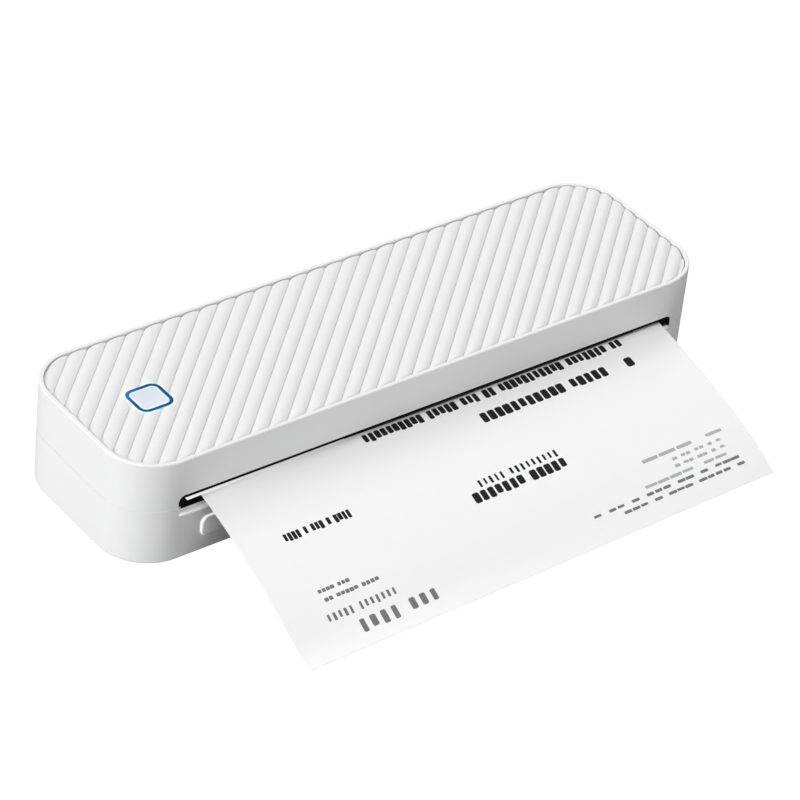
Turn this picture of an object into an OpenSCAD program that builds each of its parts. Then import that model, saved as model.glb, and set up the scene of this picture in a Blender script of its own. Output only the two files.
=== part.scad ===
// Portable page printer: a bar-shaped thermal transfer printer with a ribbed cover hinged at the back.
// Millimetres, +Z up. X runs along the bar, the sheet leaves at the front, which is -Y.
// The origin is on the table, under the middle of the bar.

/* [Body] */
// Length of the bar
body_l = 262; // [256:1:300]
// Depth of the bar from front to back
body_w = 76; // [75:0.5:80]
// Height of the bar above the table
body_h = 44; // [43.6:0.2:48]
// Corner radius in plan
corner_r = 20; // [17:0.5:21]
// Thickness of the outer walls
wall = 2.4; // [2:0.1:2.6]
// Rounding of the cover's top edge
top_edge_r = 0.6; // [0.4:0.1:1.2]
// Rounding of the housing's bottom edge
base_edge_r = 1.0; // [0.6:0.1:1.6]
// How far below the top cover and housing meet
parting_drop = 20.6; // [20.2:0.1:21]
// Visible gap at that line
parting_gap = 0.3; // [0.2:0.05:0.4]
// Thickness of the housing floor
floor_t = 2.2; // [1.6:0.1:2.4]
// Thickness of the cover's inner plate
plate_t = 1.6; // [1.2:0.1:1.8]

/* [Ribbed panel] */
// Width of the rim round the panel
rim_w = 1.6; // [1.4:0.1:1.9]
// Depth from the rim's top down to the plate that carries the panel
panel_recess = 2.0; // [1.8:0.1:2.3]
// Depth of the rib crests below the rim
crest_drop = 0.15; // [0.05:0.05:0.4]
// Depth of the grooves between the ribs
rib_sag = 0.85; // [0.3:0.05:1]
// Spacing of the ribs, square to them
rib_pitch = 5.45; // [4:0.05:8]
// Angle of the ribs to the bar's length
rib_angle = 43.3; // [20:0.1:70]
// Where the first groove crosses the bar's middle line
rib_phase = -58.8; // [-70:0.1:-50]

/* [Power button] */
// Place of the button along the bar, from the left end
button_in = 31.7; // [31.6:0.1:36]
// Outer size of the lit ring
ring_size = 13.8; // [12.6:0.1:14]
// Width of the lit ring
ring_w = 0.9; // [0.6:0.05:1.2]
// Corner radius of the lit ring
ring_r = 3.6; // [2.4:0.1:4.2]
// How far the button travels
button_travel = 0.8; // [0.4:0.1:1]

/* [Sheet] */
// How much narrower the sheet is than the bar is long, at each end
sheet_margin = 26; // [25.5:0.5:30]
// Thickness of the sheet
sheet_t = 0.15; // [0.1:0.01:0.2]
// How far the sheet's middle lies from the bar's middle
feed_x = 3; // [0:0.5:4]
// How far the sheet's path lies below the top
feed_drop = 17.2; // [17.1:0.05:17.3]
// How far the sheet's front edge reaches beyond the front wall
sheet_reach = 74.5; // [40:0.5:76]
// Height of the front edge above the table
sheet_end_z = 3.2; // [1:0.1:20]
// Growth of the droop along the sheet
droop_power = 1.45; // [1.3:0.05:2.2]
// How far the sheet's rear edge lies inside the back wall
sheet_rear_in = 6.6; // [5.8:0.2:12]

/* [Exit slot] */
// How far the slot reaches past the sheet, at each end
slot_side = 7; // [6:0.5:8]
// How far the slot's middle lies from the bar's middle
slot_x = 1.5; // [0:0.5:3]
// How far the slot's upper edge lies below the top
slot_drop = 15.5; // [15.1:0.1:15.6]
// Rounding of the slot's upper corners
slot_corner_r = 2.2; // [1:0.1:2.6]
// How far the slot's lower lip lies below the parting line
lip_drop = 1.1; // [0.6:0.1:1.6]
// Depth of the bevel on the lower lip
lip_bevel_y = 1.1; // [0.6:0.1:1.4]
// Height of that bevel
lip_bevel_z = 2.2; // [1:0.1:3]
// Thickness of the bar above the sheet
exit_bar_t = 0.6; // [0.5:0.05:0.8]
// How far the left end of that bar stands out of the slot
exit_bar_nose = 1.5; // [0:0.1:2]

/* [Release tab] */
// Width of the tab
tab_w = 22; // [14:0.5:26]
// Height of the tab as a share of the housing's height
tab_h_share = 0.36; // [0.26:0.01:0.38]
// Corner radius of the tab
tab_r = 2.6; // [1.5:0.1:3]
// How far the tab stands proud of the wall
tab_proud = 1.0; // [0.5:0.1:1.4]
// Place of the tab's middle along the bar, from the left end
tab_in = 41; // [38:0.5:60]
// Height of the tab's middle as a share of the housing's height
tab_z_share = 0.48; // [0.45:0.01:0.5]
// How far the tab travels
tab_travel = 1.5; // [0.8:0.1:1.6]

/* [Hinge] */
// How far the hinge axis lies inside the back wall's outer face
hinge_in = 3.2; // [3.1:0.05:3.4]
// How far the hinge axis lies below the top
hinge_drop = 16; // [15.8:0.1:16.2]
// Radius of the knuckles
knuckle_r = 2.1; // [1.8:0.05:2.2]
// Radius of the hinge pins
hinge_pin_r = 1; // [0.8:0.05:1.1]
// How far each hinge's middle lies outside the sheet's width
hinge_side = 8.5; // [7.5:0.5:9]

/* [Platen] */
// Radius of the rubber roller
platen_r = 5.2; // [4.6:0.05:5.3]
// Radius of the steel shaft
shaft_r = 2; // [1.6:0.1:2.4]
// Space between the take-up spool and the print head over the roller
platen_space = 1.6; // [1:0.1:2]

/* [Gears] */
// Size of the teeth as a share of the bar's depth
tooth_share = 0.0079; // [0.0074:0.0001:0.0081]
// Thickness of the gears
gear_t = 4; // [2.5:0.1:4.4]

/* [Ribbon] */
// Radius of the wound film on each spool
roll_r = 4.6; // [3.6:0.1:4.7]
// Radius of the spool flanges
flange_r = 5.2; // [5:0.05:5.3]
// How far both spool axes lie below the top
spool_drop = 10.1; // [9.6:0.05:10.2]
// How far the take-up spool's axis lies inside the front wall
take_up_in = 10.3; // [10:0.1:10.6]
// How far the supply spool's axis lies inside the back wall
supply_in = 14.6; // [13:0.1:16]

/* [Motor and battery] */
// Room between the stepper motor and the paper guide over it
motor_room = 3.3; // [2.6:0.1:6]
// Length of the stepper motor's can
motor_l = 17; // [12:0.5:19]
// How much shorter the battery pack is than the sheet is wide
battery_short = 110; // [100:1:140]
// How much the battery pack is narrower than the bar is deep
battery_narrow = 43; // [42:0.5:50]
// Room between the battery pack and the sheet sensor over it
battery_room = 2.1; // [1:0.1:5]

/* [Hidden] */
$fn = 96;

// One overrun serves every cut, and one gap every piece that moves past another.
cut = 1;
gap = 0.3;
slip = 0.15;
run_fit = 0.05;
snug_fit = 0.015;

// Outer shell
parting_z = body_h - parting_drop;
foot_h = 0.3;
foot_r = 5;
foot_sink = 0.8;
foot_in_x = 28;
foot_in_y = 15;
foot_x = body_l/2 - foot_in_x;
foot_y = body_w/2 - foot_in_y;
front_y = -body_w/2;
back_y = body_w/2;
front_in_y = front_y + wall;
back_in_y = back_y - wall;
floor_top = foot_h + floor_t;
cover_z = parting_z + parting_gap;
lip_z = parting_z - lip_drop;
panel_z = body_h - panel_recess;
plate_z = panel_z - plate_t;
rib_crest_z = body_h - crest_drop;

// Rows of parts from front to back
head_w = 9;
take_up_y = front_in_y + take_up_in;
platen_y = take_up_y + flange_r + platen_space + head_w/2;
supply_y = back_in_y - supply_in;

// Sheet, guides and side plates
sheet_w = body_l - 2*sheet_margin;
slot_l = sheet_w + 2*slot_side;
sheet_rear_y = back_in_y - sheet_rear_in;
sheet_x0 = feed_x - sheet_w/2;
sheet_x1 = feed_x + sheet_w/2;
bend_y = front_y + 2*wall;
droop_run = sheet_reach + 2*wall;
feed_z = body_h - feed_drop;
sheet_droop = feed_z - sheet_end_z;
sheet_steps = 28;
side_clear = 6;
side_t = 1.2;
side_foot_w = 7;
side_in_y = 14;
side_half_w = body_w/2 - side_in_y;
side_foot_l = 10;
side_screw_y = side_half_w - side_foot_l/2;
side_top_z = feed_z - 2*gap;
plate_l_x = sheet_x0 - side_clear;
plate_r_x = sheet_x1 + side_clear;
guide_t = 1.6;
guide_top_z = feed_z - 2*gap;
guide_fold_y = 6;
guide_ramp_y = 4;
guide_ramp_z = 1.8;
guide_drop = 2;
guide_clear = 1;
guide_side = 1;
guide_end_in = 1;
rear_guide_end_y = sheet_rear_y + guide_end_in;

// Release bar and its arms
tab_h = tab_h_share*parting_z;
tab_z = tab_z_share*parting_z;
slot_top_z = body_h - slot_drop;
catch_over = 1.1;
latch_t = 1.6;
latch_in = 1.4;
latch_y = front_in_y + latch_in;
latch_h = 6;
arm_w = 3;
arm_side = 1.5;
catch_z = slot_top_z + catch_over;
catch_h = 1.5;
catch_proud = latch_y - front_in_y - gap;
arm_top_z = catch_z + catch_h;
tab_x = -body_l/2 + tab_in;
release_spring_r = 2;
release_spring_wire = 0.5;
release_spring_l = 4;
release_spring_in = 2;
release_spring_span = sheet_w - 2*release_spring_in;
post_t = 1.6;

// Hinge
hinge_y = back_y - hinge_in;
hinge_z = body_h - hinge_drop;
hinge_span = sheet_w + 2*hinge_side;
ear_mid_w = 2.6;
ear_side_w = 2.2;
ear_gap = 0.25;
pin_l = ear_mid_w + 2*ear_gap + 2*ear_side_w;
pin_slip = 0.02;
rear_open_h = 1.5;
rear_open_z = hinge_z + rear_open_h;
rear_open_side = 17;
rear_open_l = sheet_w + 2*rear_open_side;
ear_notch_h = 1.4;
ear_notch_z = rear_open_z + ear_notch_h;

// Platen and its bushes
platen_z = feed_z - gap - platen_r;
platen_side = 1;
platen_l = sheet_w + 2*platen_side;
bush_wall = 1.5;
bush_r = shaft_r + bush_wall;
bush_flange_w = 1;
bush_flange_r = bush_r + bush_flange_w;
bush_flange_t = 0.8;
gear_clear = 1.3;
gear_x = plate_r_x + side_t + gear_clear;
shaft_end = 0.8;

// Gear train: twenty teeth on the platen, thirty-two on the idler, twelve on the motor
platen_teeth = 20;
idler_teeth = 32;
pinion_teeth = 12;
centre_play = 0.12;
idler_floor_gap = 1.6;
motor_floor_gap = 2.8;
sensor_h = 3;
motor_r = (guide_top_z - guide_t - floor_top - motor_floor_gap - motor_room)/2;
motor_z = floor_top + motor_floor_gap + motor_r;
tip_addendum_share = 0.8;
root_dedendum_share = 1.15;
gear_module = tooth_share*body_w;
idler_z = floor_top + idler_floor_gap + gear_module*(idler_teeth/2 + tip_addendum_share);
platen_idler = gear_module*(platen_teeth + idler_teeth)/2 + centre_play;
idler_motor = gear_module*(idler_teeth + pinion_teeth)/2 + centre_play;
idler_y = platen_y + sqrt(pow(platen_idler, 2) - pow(platen_z - idler_z, 2));
motor_y = idler_y + sqrt(pow(idler_motor, 2) - pow(idler_z - motor_z, 2));
platen_to_idler = atan2(idler_z - platen_z, idler_y - platen_y);
idler_to_motor = atan2(motor_z - idler_z, motor_y - idler_y);
idler_turn = mesh_turn(platen_to_idler, platen_to_idler, platen_teeth, idler_teeth);
pinion_turn = mesh_turn(idler_to_motor, idler_turn, idler_teeth, pinion_teeth);
stud_r = 1.5;
motor_shaft_r = 1;
motor_hole_r = 3;
motor_nose_l = 6;

// Ribbon unit
spool_z = body_h - spool_drop;
cheek_side = 4.6;
cheek_t = 1.5;
cheek_l_x = sheet_x0 - cheek_side - cheek_t;
cheek_r_x = sheet_x1 + cheek_side;
cheek_clear = 1.6;
cheek_low_z = feed_z + cheek_clear;
cheek_nose = 5;
journal_r = 1.5;
core_r = 2.6;
flange_t = 1;
spool_side = 1.2;
film_t = 0.1;
film_z = feed_z + sheet_t + gap;
film_flat = 5.6;
film_side = 1;
film_w = sheet_w + 2*film_side;

// Print head
head_t = 1.3;
head_clear = 0.1;
head_z = film_z + film_t + head_clear;
head_side = 2;
head_l = sheet_w + 2*head_side;
sink_h = 7.2;
sink_z = head_z + head_t;
fin_w = 1.2;
fin_d = 4.5;
fin_y = 1.8;
head_spring_r = 2.6;
head_spring_wire = 0.7;
head_spring_share = 0.33;

// Bar above the sheet in the slot
exit_bar_clear = 0.25;
exit_bar_z = feed_z + sheet_t + exit_bar_clear;
exit_bar_side = 5.5;
exit_bar_back = 3.4;
exit_lug_t = 1.2;
exit_lug_h = 6;
exit_lug_w = 12;
exit_lug_share = 0.4;
exit_set_back = 1.3;

// Button, its spring and the switch under it
button_x = -body_l/2 + button_in;
cap_size = ring_size - 2*ring_w - 2*slip;
cap_r = ring_r - ring_w - slip;
cap_t = 1.9;
cap_stem = 2;
cap_top_z = rib_crest_z;
stem_r = 2.1;
switch_h = 1.4;
switch_r = 1.8;
ring_hole = ring_size + 2*slip;
board_t = 1.2;
board_top_z = cap_top_z - cap_t - cap_stem - button_travel - slip - switch_h;
board_z = board_top_z - board_t;
board_l = 13;
board_post_r = 1.3;
board_w = ring_size + 4*board_post_r;
board_post_x = board_l/2 - board_post_r;
board_post_y = board_w/2 - board_post_r;
button_spring_r = 3;
button_spring_wire = 0.6;
button_spring_top = cap_top_z - cap_t;

// Boards, battery and socket
main_short = 60;
main_l = sheet_w - main_short;
main_w = 22;
main_in_x = 7;
main_in_y = 5.6;
main_t = 1.6;
standoff_share = 0.13;
main_z = floor_top + standoff_share*parting_z;
main_x = sheet_x0 + main_in_x + main_l/2;
main_y = front_in_y + main_in_y + main_w/2;
main_hole_in = 4;
main_hole_x = main_l/2 - main_hole_in;
main_hole_y = main_w/2 - main_hole_in;
screw_r = 1;
screw_head_r = 2;
screw_head_t = 1.2;
standoff_r = 2.6;
chip_h = 1.8;
chip_w = 9;
chip_place_share = [-0.34, -0.12, 0.12, 0.3];
battery_in_x = 2;
battery_in_y = 5.1;
battery_l = sheet_w - battery_short;
battery_w = body_w - battery_narrow;
battery_h = guide_top_z - guide_t - sensor_h - battery_room - floor_top;
battery_x = sheet_x0 + battery_in_x + battery_l/2;
battery_y = back_in_y - battery_in_y - battery_w/2;
socket_in_x = 38;
socket_x = sheet_x1 - socket_in_x;
socket_w = 9;
socket_h = 3.2;
socket_d = 9.6;
tongue_w = 4.5;
socket_r = 1.5;
socket_up = 4.4;
socket_z = floor_top + socket_up;
socket_board_w = 20;
socket_board_d = 17;
sensor_l = 7;
sensor_w = 4;

// Angle of the second gear so that its tooth meets a gap of the first one.
function mesh_turn(toward, first_turn, first_teeth, second_teeth) =
    toward + 180 - (360/second_teeth)*(0.5 - (toward - first_turn)*first_teeth/360);

// Height of the sheet's underside at a distance from the start of its bend.
function sheet_z(run) = feed_z - sheet_droop*pow(run/droop_run, droop_power);

// Turns a flat outline in Y and Z into a bar along X.
module along_x(x0, length) {
    translate([x0, 0, 0]) rotate([90, 0, 90]) linear_extrude(length) children();
}

// Outline of the bar seen from above, drawn in by the given amount.
module plan(inset) {
    l = body_l - 2*inset;
    w = body_w - 2*inset;
    r = corner_r - inset;
    square([l - 2*r, w], center = true);
    square([l, w - 2*r], center = true);
    for (sx = [-1, 1], sy = [-1, 1]) translate([sx*(l/2 - r), sy*(w/2 - r)]) circle(r);
}

// Sweeps an outline round the bar. Its first coordinate is the distance from a corner's centre.
module round_the_bar() {
    side_x = body_l - 2*corner_r;
    side_y = body_w - 2*corner_r;
    for (turn = [0, 180]) rotate([0, 0, turn]) {
        translate([-side_x/2, side_y/2, 0]) rotate([90, 0, 90]) linear_extrude(side_x) children();
        translate([side_x/2, side_y/2, 0]) rotate([0, 0, -90]) rotate([90, 0, 90])
            linear_extrude(side_y) children();
        translate([side_x/2, side_y/2, 0]) rotate_extrude(angle = 90) children();
        translate([-side_x/2, side_y/2, 0]) rotate([0, 0, 90]) rotate_extrude(angle = 90) children();
    }
}

// A square with round corners, lying flat.
module soft_square(size, r) {
    square([size - 2*r, size], center = true);
    square([size, size - 2*r], center = true);
    for (sx = [-1, 1], sy = [-1, 1]) translate([sx*(size/2 - r), sy*(size/2 - r)]) circle(r);
}

// An oblong with round corners, lying flat.
module soft_oblong(l, w, r) {
    square([l - 2*r, w], center = true);
    square([l, w - 2*r], center = true);
    for (sx = [-1, 1], sy = [-1, 1]) translate([sx*(l/2 - r), sy*(w/2 - r)]) circle(r);
}

// A box from its low corner to its high corner.
module block(low, high) {
    translate(low) cube(high - low);
}

// A rod along X.
module rod(x0, length, y, z, r) {
    translate([x0, y, z]) rotate([0, 90, 0]) cylinder(h = length, r = r);
}

// Outline of a straight-flanked gear, one tooth on its first axis.
module gear_outline(teeth) {
    pitch_r = gear_module*teeth/2;
    root_r = pitch_r - root_dedendum_share*gear_module;
    tip_r = pitch_r + tip_addendum_share*gear_module;
    root_share = 0.29;
    tip_share = 0.1;
    step = 360/teeth;
    polygon([for (k = [0:teeth - 1], c = [[-1, root_share, root_r], [-1, tip_share, tip_r],
                                          [1, tip_share, tip_r], [1, root_share, root_r]])
        [c[2]*cos((k + c[0]*c[1])*step), c[2]*sin((k + c[0]*c[1])*step)]]);
}

// A gear with a round bore, lying across the bar's end.
module gear(teeth, turn, y, z, bore_r) {
    translate([gear_x, y, z]) rotate([90, 0, 90]) linear_extrude(gear_t) difference() {
        rotate(turn) gear_outline(teeth);
        circle(bore_r);
    }
}

// A plain sleeve, used for springs that are out of sight.
module sleeve(length, r, wire) {
    difference() {
        cylinder(h = length, r = r);
        translate([0, 0, -cut]) cylinder(h = length + 2*cut, r = r - wire);
    }
}

module lower_housing() {
    color("white") difference() {
        union() {
            round_the_bar() housing_wall_outline();
            translate([0, 0, foot_h]) linear_extrude(floor_t) plan(base_edge_r);
            for (side = [-1, 1]) housing_ear(side*hinge_span/2);
            for (sx = [-1, 1], sy = [-1, 1])
                translate([main_x + sx*main_hole_x, main_y + sy*main_hole_y,
                           floor_top - slip])
                    cylinder(h = main_z - floor_top + slip, r = standoff_r);
            for (side = [-1, 1]) translate([feed_x + side*release_spring_span/2, 0, 0]) spring_post();
            socket_shelf();
        }
        // Lip under the slot, lowered and bevelled
        along_x(slot_x - slot_l/2, slot_l)
            polygon([[front_y - cut, parting_z + cut], [front_y - cut, lip_z - lip_bevel_z],
                     [front_y, lip_z - lip_bevel_z], [front_y + lip_bevel_y, lip_z],
                     [front_in_y + cut, lip_z], [front_in_y + cut, parting_z + cut]]);
        // Window for the release tab
        translate([tab_x, front_in_y + cut, tab_z]) rotate([90, 0, 0]) linear_extrude(wall + 2*cut)
            soft_oblong(tab_w + 2*gap, tab_h + 2*gap, tab_r + gap);
        // Window for the socket
        translate([socket_x, back_y + cut, socket_z + socket_h/2]) rotate([90, 0, 0])
            linear_extrude(wall + 2*cut)
                soft_oblong(socket_w + 2*slip, socket_h + 2*slip, socket_r + slip);
        // Pockets for the feet
        for (p = foot_places())
            translate([p[0], p[1], foot_h - cut]) cylinder(h = cut + foot_sink, r = foot_r);
        // Pilot holes in the board posts
        for (sx = [-1, 1], sy = [-1, 1])
            translate([main_x + sx*main_hole_x, main_y + sy*main_hole_y, floor_top])
                cylinder(h = main_z, r = screw_r);
    }
}

function foot_places() = concat([[0, 0]], [for (sx = [-1, 1], sy = [-1, 1]) [sx*foot_x, sy*foot_y]]);

module housing_wall_outline() {
    difference() {
        translate([corner_r - wall, foot_h]) square([wall, parting_z - foot_h]);
        translate([corner_r - base_edge_r, foot_h]) difference() {
            translate([0, -cut]) square([base_edge_r + cut, base_edge_r + cut]);
            translate([0, base_edge_r]) circle(base_edge_r);
        }
    }
}

// The housing's ear stands inside the back wall and carries the pin in a true bore.
module housing_ear(x) {
    difference() {
        union() {
            block([x - ear_mid_w/2, hinge_y - knuckle_r, floor_top - slip],
                  [x + ear_mid_w/2, hinge_y + knuckle_r, hinge_z]);
            rod(x - ear_mid_w/2, ear_mid_w, hinge_y, hinge_z, knuckle_r);
        }
        rod(x - ear_mid_w/2 - cut, ear_mid_w + 2*cut, hinge_y, hinge_z, hinge_pin_r + run_fit);
    }
}

module spring_post() {
    block([-release_spring_r, release_seat_y(), floor_top - slip],
          [release_spring_r, release_seat_y() + post_t, tab_z + release_spring_r]);
}

function release_seat_y() = latch_y + latch_t + tab_travel + gap + release_spring_l;

module socket_shelf() {
    block([socket_x - socket_board_w/2, back_in_y - socket_board_d, floor_top - slip],
          [socket_x + socket_board_w/2, back_in_y - socket_board_d + post_t, socket_z - board_t]);
    block([socket_x - socket_board_w/2, back_in_y - post_t, floor_top - slip],
          [socket_x + socket_board_w/2, back_in_y, socket_z - board_t]);
}

module rubber_feet() {
    color("dimgray") for (p = foot_places()) translate([p[0], p[1], 0])
        cylinder(h = foot_h + foot_sink, r = foot_r - slip);
}

// Side plate with its foot. The outer side of the left plate faces -X.
module side_plate(x, side) {
    foot_x0 = side < 0 ? x : x + side_t - side_foot_w;
    difference() {
        union() {
            block([x, -side_half_w, floor_top], [x + side_t, side_half_w, side_top_z]);
            for (end = [-1, 1])
                block([foot_x0, end*side_screw_y - side_foot_l/2, floor_top],
                      [foot_x0 + side_foot_w, end*side_screw_y + side_foot_l/2,
                       floor_top + side_t]);
        }
        rod(x - cut, side_t + 2*cut, platen_y, platen_z, bush_r);
        for (end = [-1, 1])
            translate([foot_x0 + side_foot_w/2 - side*side_t/2, end*side_screw_y, floor_top - cut])
                cylinder(h = side_t + 2*cut, r = screw_r + slip);
    }
}

module side_plate_left() {
    color("silver") side_plate(plate_l_x - side_t, -1);
}

module side_plate_right() {
    color("silver") difference() {
        side_plate(plate_r_x, 1);
        rod(plate_r_x - cut, side_t + 2*cut, motor_y, motor_z, motor_hole_r);
        rod(plate_r_x - cut, side_t + 2*cut, idler_y, idler_z, stud_r);
    }
}

module chassis_screws() {
    left_x = plate_l_x - side_t + side_foot_w/2 + side_t/2;
    right_x = plate_r_x + side_t - side_foot_w/2 - side_t/2;
    color("gray") for (x = [left_x, right_x], end = [-1, 1])
        translate([x, end*side_screw_y, floor_top]) {
            translate([0, 0, side_t]) cylinder(h = screw_head_t, r = screw_head_r);
            cylinder(h = side_t + slip, r = screw_r);
        }
}

module front_paper_guide() {
    front = front_in_y + gap;
    rear = platen_y - platen_r - guide_clear;
    color("dimgray") {
        along_x(sheet_x0, sheet_w)
            polygon([[front, guide_top_z - guide_ramp_z - guide_drop], [front, guide_top_z - guide_ramp_z],
                     [front + guide_ramp_y, guide_top_z], [rear, guide_top_z],
                     [rear, guide_top_z - guide_t], [front + guide_ramp_y, guide_top_z - guide_t]]);
        block([plate_l_x, rear - guide_fold_y, guide_top_z - guide_t], [plate_r_x, rear, guide_top_z]);
    }
}

module rear_paper_guide() {
    front = platen_y + platen_r + guide_clear;
    color("dimgray") {
        block([sheet_x0 - guide_side, front, guide_top_z - guide_t],
              [sheet_x1 + guide_side, rear_guide_end_y, guide_top_z]);
        block([plate_l_x, front, guide_top_z - guide_t],
              [plate_r_x, side_half_w - guide_end_in, guide_top_z]);
    }
}

module bush(x, side) {
    color("goldenrod") difference() {
        union() {
            rod(x, side_t, platen_y, platen_z, bush_r - snug_fit);
            rod(side > 0 ? x + side_t : x - bush_flange_t, bush_flange_t, platen_y, platen_z,
                bush_flange_r);
        }
        rod(x - bush_flange_t - cut, side_t + 2*bush_flange_t + 2*cut, platen_y, platen_z,
            shaft_r + run_fit);
    }
}

module platen_bush_left() {
    bush(plate_l_x - side_t, -1);
}

module platen_bush_right() {
    bush(plate_r_x, 1);
}

module stepper_motor() {
    color("silver") difference() {
        union() {
            rod(plate_r_x - motor_l, motor_l, motor_y, motor_z, motor_r);
            rod(plate_r_x - slip, side_t + slip, motor_y, motor_z, motor_hole_r - slip);
            block([plate_r_x - motor_l, motor_y - motor_r/2, floor_top],
                  [plate_r_x + side_t - side_foot_w - gap, motor_y + motor_r/2, motor_z]);
        }
        rod(plate_r_x - motor_nose_l, motor_nose_l + side_t + cut, motor_y, motor_z,
            motor_shaft_r + run_fit);
    }
}

module idler_stud() {
    color("gray") {
        rod(plate_r_x, side_t + gear_clear + gear_t + shaft_end, idler_y, idler_z, stud_r - snug_fit);
        rod(plate_r_x + side_t, gear_clear - gap, idler_y, idler_z, 2*stud_r);
    }
}

module battery_pack() {
    color("steelblue") {
        block([battery_x - battery_l/2, battery_y - battery_w/2, floor_top],
              [battery_x + battery_l/2, battery_y + battery_w/2, floor_top + battery_h]);
    }
}

module main_board() {
    color("green") difference() {
        union() {
            translate([main_x - main_l/2, main_y - main_w/2, main_z]) cube([main_l, main_w, main_t]);
            for (place = chip_place_share)
                translate([main_x + place*main_l - chip_w/2, main_y - chip_w/2, main_z])
                    cube([chip_w, chip_w, main_t + chip_h]);
        }
        for (sx = [-1, 1], sy = [-1, 1])
            translate([main_x + sx*main_hole_x, main_y + sy*main_hole_y, main_z - cut])
                cylinder(h = main_t + 2*cut, r = screw_r + slip);
    }
}

module board_screws() {
    color("gray") for (sx = [-1, 1], sy = [-1, 1])
        translate([main_x + sx*main_hole_x, main_y + sy*main_hole_y, main_z]) {
            translate([0, 0, main_t]) cylinder(h = screw_head_t, r = screw_head_r);
            translate([0, 0, -screw_head_t])
                cylinder(h = main_t + screw_head_t + slip, r = screw_r - snug_fit);
        }
}

module usb_socket() {
    color("silver") {
        difference() {
            translate([socket_x, back_y - gap, socket_z + socket_h/2]) rotate([90, 0, 0])
                linear_extrude(socket_d) soft_oblong(socket_w, socket_h, socket_r);
            translate([socket_x, back_y - gap + cut, socket_z + socket_h/2]) rotate([90, 0, 0])
                linear_extrude(socket_d - cut)
                    soft_oblong(socket_w - 2*gap, socket_h - 2*gap, socket_r - gap);
        }
        block([socket_x - tongue_w/2, back_y - socket_d - slip, socket_z + socket_h/2 - gap],
              [socket_x + tongue_w/2, back_y - wall, socket_z + socket_h/2 + gap]);
        block([socket_x - socket_board_w/2, back_in_y - socket_board_d, socket_z - board_t],
              [socket_x + socket_board_w/2, back_in_y - slip, socket_z]);
    }
}

module paper_sensor() {
    color("black") block([feed_x - sensor_l/2, 0, guide_top_z - guide_t - sensor_h],
                         [feed_x + sensor_l/2, sensor_w, guide_top_z - guide_t]);
}

module release_springs() {
    color("silver") for (side = [-1, 1])
        translate([feed_x + side*release_spring_span/2, release_seat_y(), tab_z]) rotate([90, 0, 0])
            sleeve(release_spring_l, release_spring_r, release_spring_wire);
}

module cover_wall_outline() {
    difference() {
        translate([corner_r - wall, cover_z]) square([wall, body_h - cover_z]);
        // Rebate that the ribbed panel lies in
        translate([corner_r - wall - cut, panel_z]) square([wall - rim_w + cut, panel_recess + cut]);
        translate([corner_r - top_edge_r, body_h - top_edge_r]) difference() {
            square([top_edge_r + cut, top_edge_r + cut]);
            circle(top_edge_r);
        }
    }
}

module top_cover() {
    color("white") difference() {
        union() {
            difference() {
                union() {
                    round_the_bar() cover_wall_outline();
                    translate([0, 0, plate_z]) linear_extrude(plate_t) plan(wall/2);
                    for (side = [-1, 1]) cover_catch(side);
                    for (sx = [-1, 1], sy = [-1, 1])
                        translate([button_x + sx*board_post_x, sy*board_post_y, board_top_z])
                            cylinder(h = plate_z - board_top_z + slip, r = board_post_r);
                }
                front_slot_cut();
                // Opening along the back, where the sheet goes in
                block([-rear_open_l/2, hinge_y - knuckle_r - cut, cover_z - cut],
                      [rear_open_l/2, back_y + cut, rear_open_z]);
                // Window for the button and its ring
                translate([button_x, 0, plate_z - cut]) linear_extrude(plate_t + 2*cut)
                    soft_square(ring_hole, ring_r + slip);
            }
            for (side = [-1, 1]) cover_ears(side*hinge_span/2);
        }
        for (side = [-1, 1]) hinge_relief(side*hinge_span/2);
    }
}

module front_slot_cut() {
    low = cover_z - cut;
    translate([slot_x, front_in_y + cut, 0]) rotate([90, 0, 0]) linear_extrude(wall + 2*cut) {
        translate([-slot_l/2, low]) square([slot_l, slot_top_z - slot_corner_r - low]);
        translate([-slot_l/2 + slot_corner_r, low]) square([slot_l - 2*slot_corner_r, slot_top_z - low]);
        for (side = [-1, 1])
            translate([side*(slot_l/2 - slot_corner_r), slot_top_z - slot_corner_r]) circle(slot_corner_r);
    }
}

// Two ears on the cover, one on each side of the housing's ear.
module cover_ears(x) {
    for (side = [-1, 1]) {
        ear_x = x + side*(ear_mid_w/2 + ear_gap + ear_side_w/2);
        block([ear_x - ear_side_w/2, hinge_y - knuckle_r, hinge_z],
              [ear_x + ear_side_w/2, back_in_y + slip, plate_z + slip]);
        rod(ear_x - ear_side_w/2, ear_side_w, hinge_y, hinge_z, knuckle_r);
    }
}

// Bore for the pin, and room in the back wall for the housing's ear.
module hinge_relief(x) {
    rod(x - pin_l/2 - ear_gap, pin_l + 2*ear_gap, hinge_y, hinge_z, hinge_pin_r + pin_slip);
    block([x - ear_mid_w/2 - ear_gap, hinge_y - knuckle_r - cut, cover_z - cut],
          [x + ear_mid_w/2 + ear_gap, back_y + cut, ear_notch_z]);
}

// A small ledge inside the front wall, which the arm of the latch bar stands behind.
module cover_catch(side) {
    x = arm_x(side);
    block([x, front_in_y - slip, catch_z], [x + arm_w, front_in_y + catch_proud, catch_z + catch_h]);
}

function arm_x(side) = side < 0 ? sheet_x0 - arm_side - arm_w : sheet_x1 + arm_side;

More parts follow.
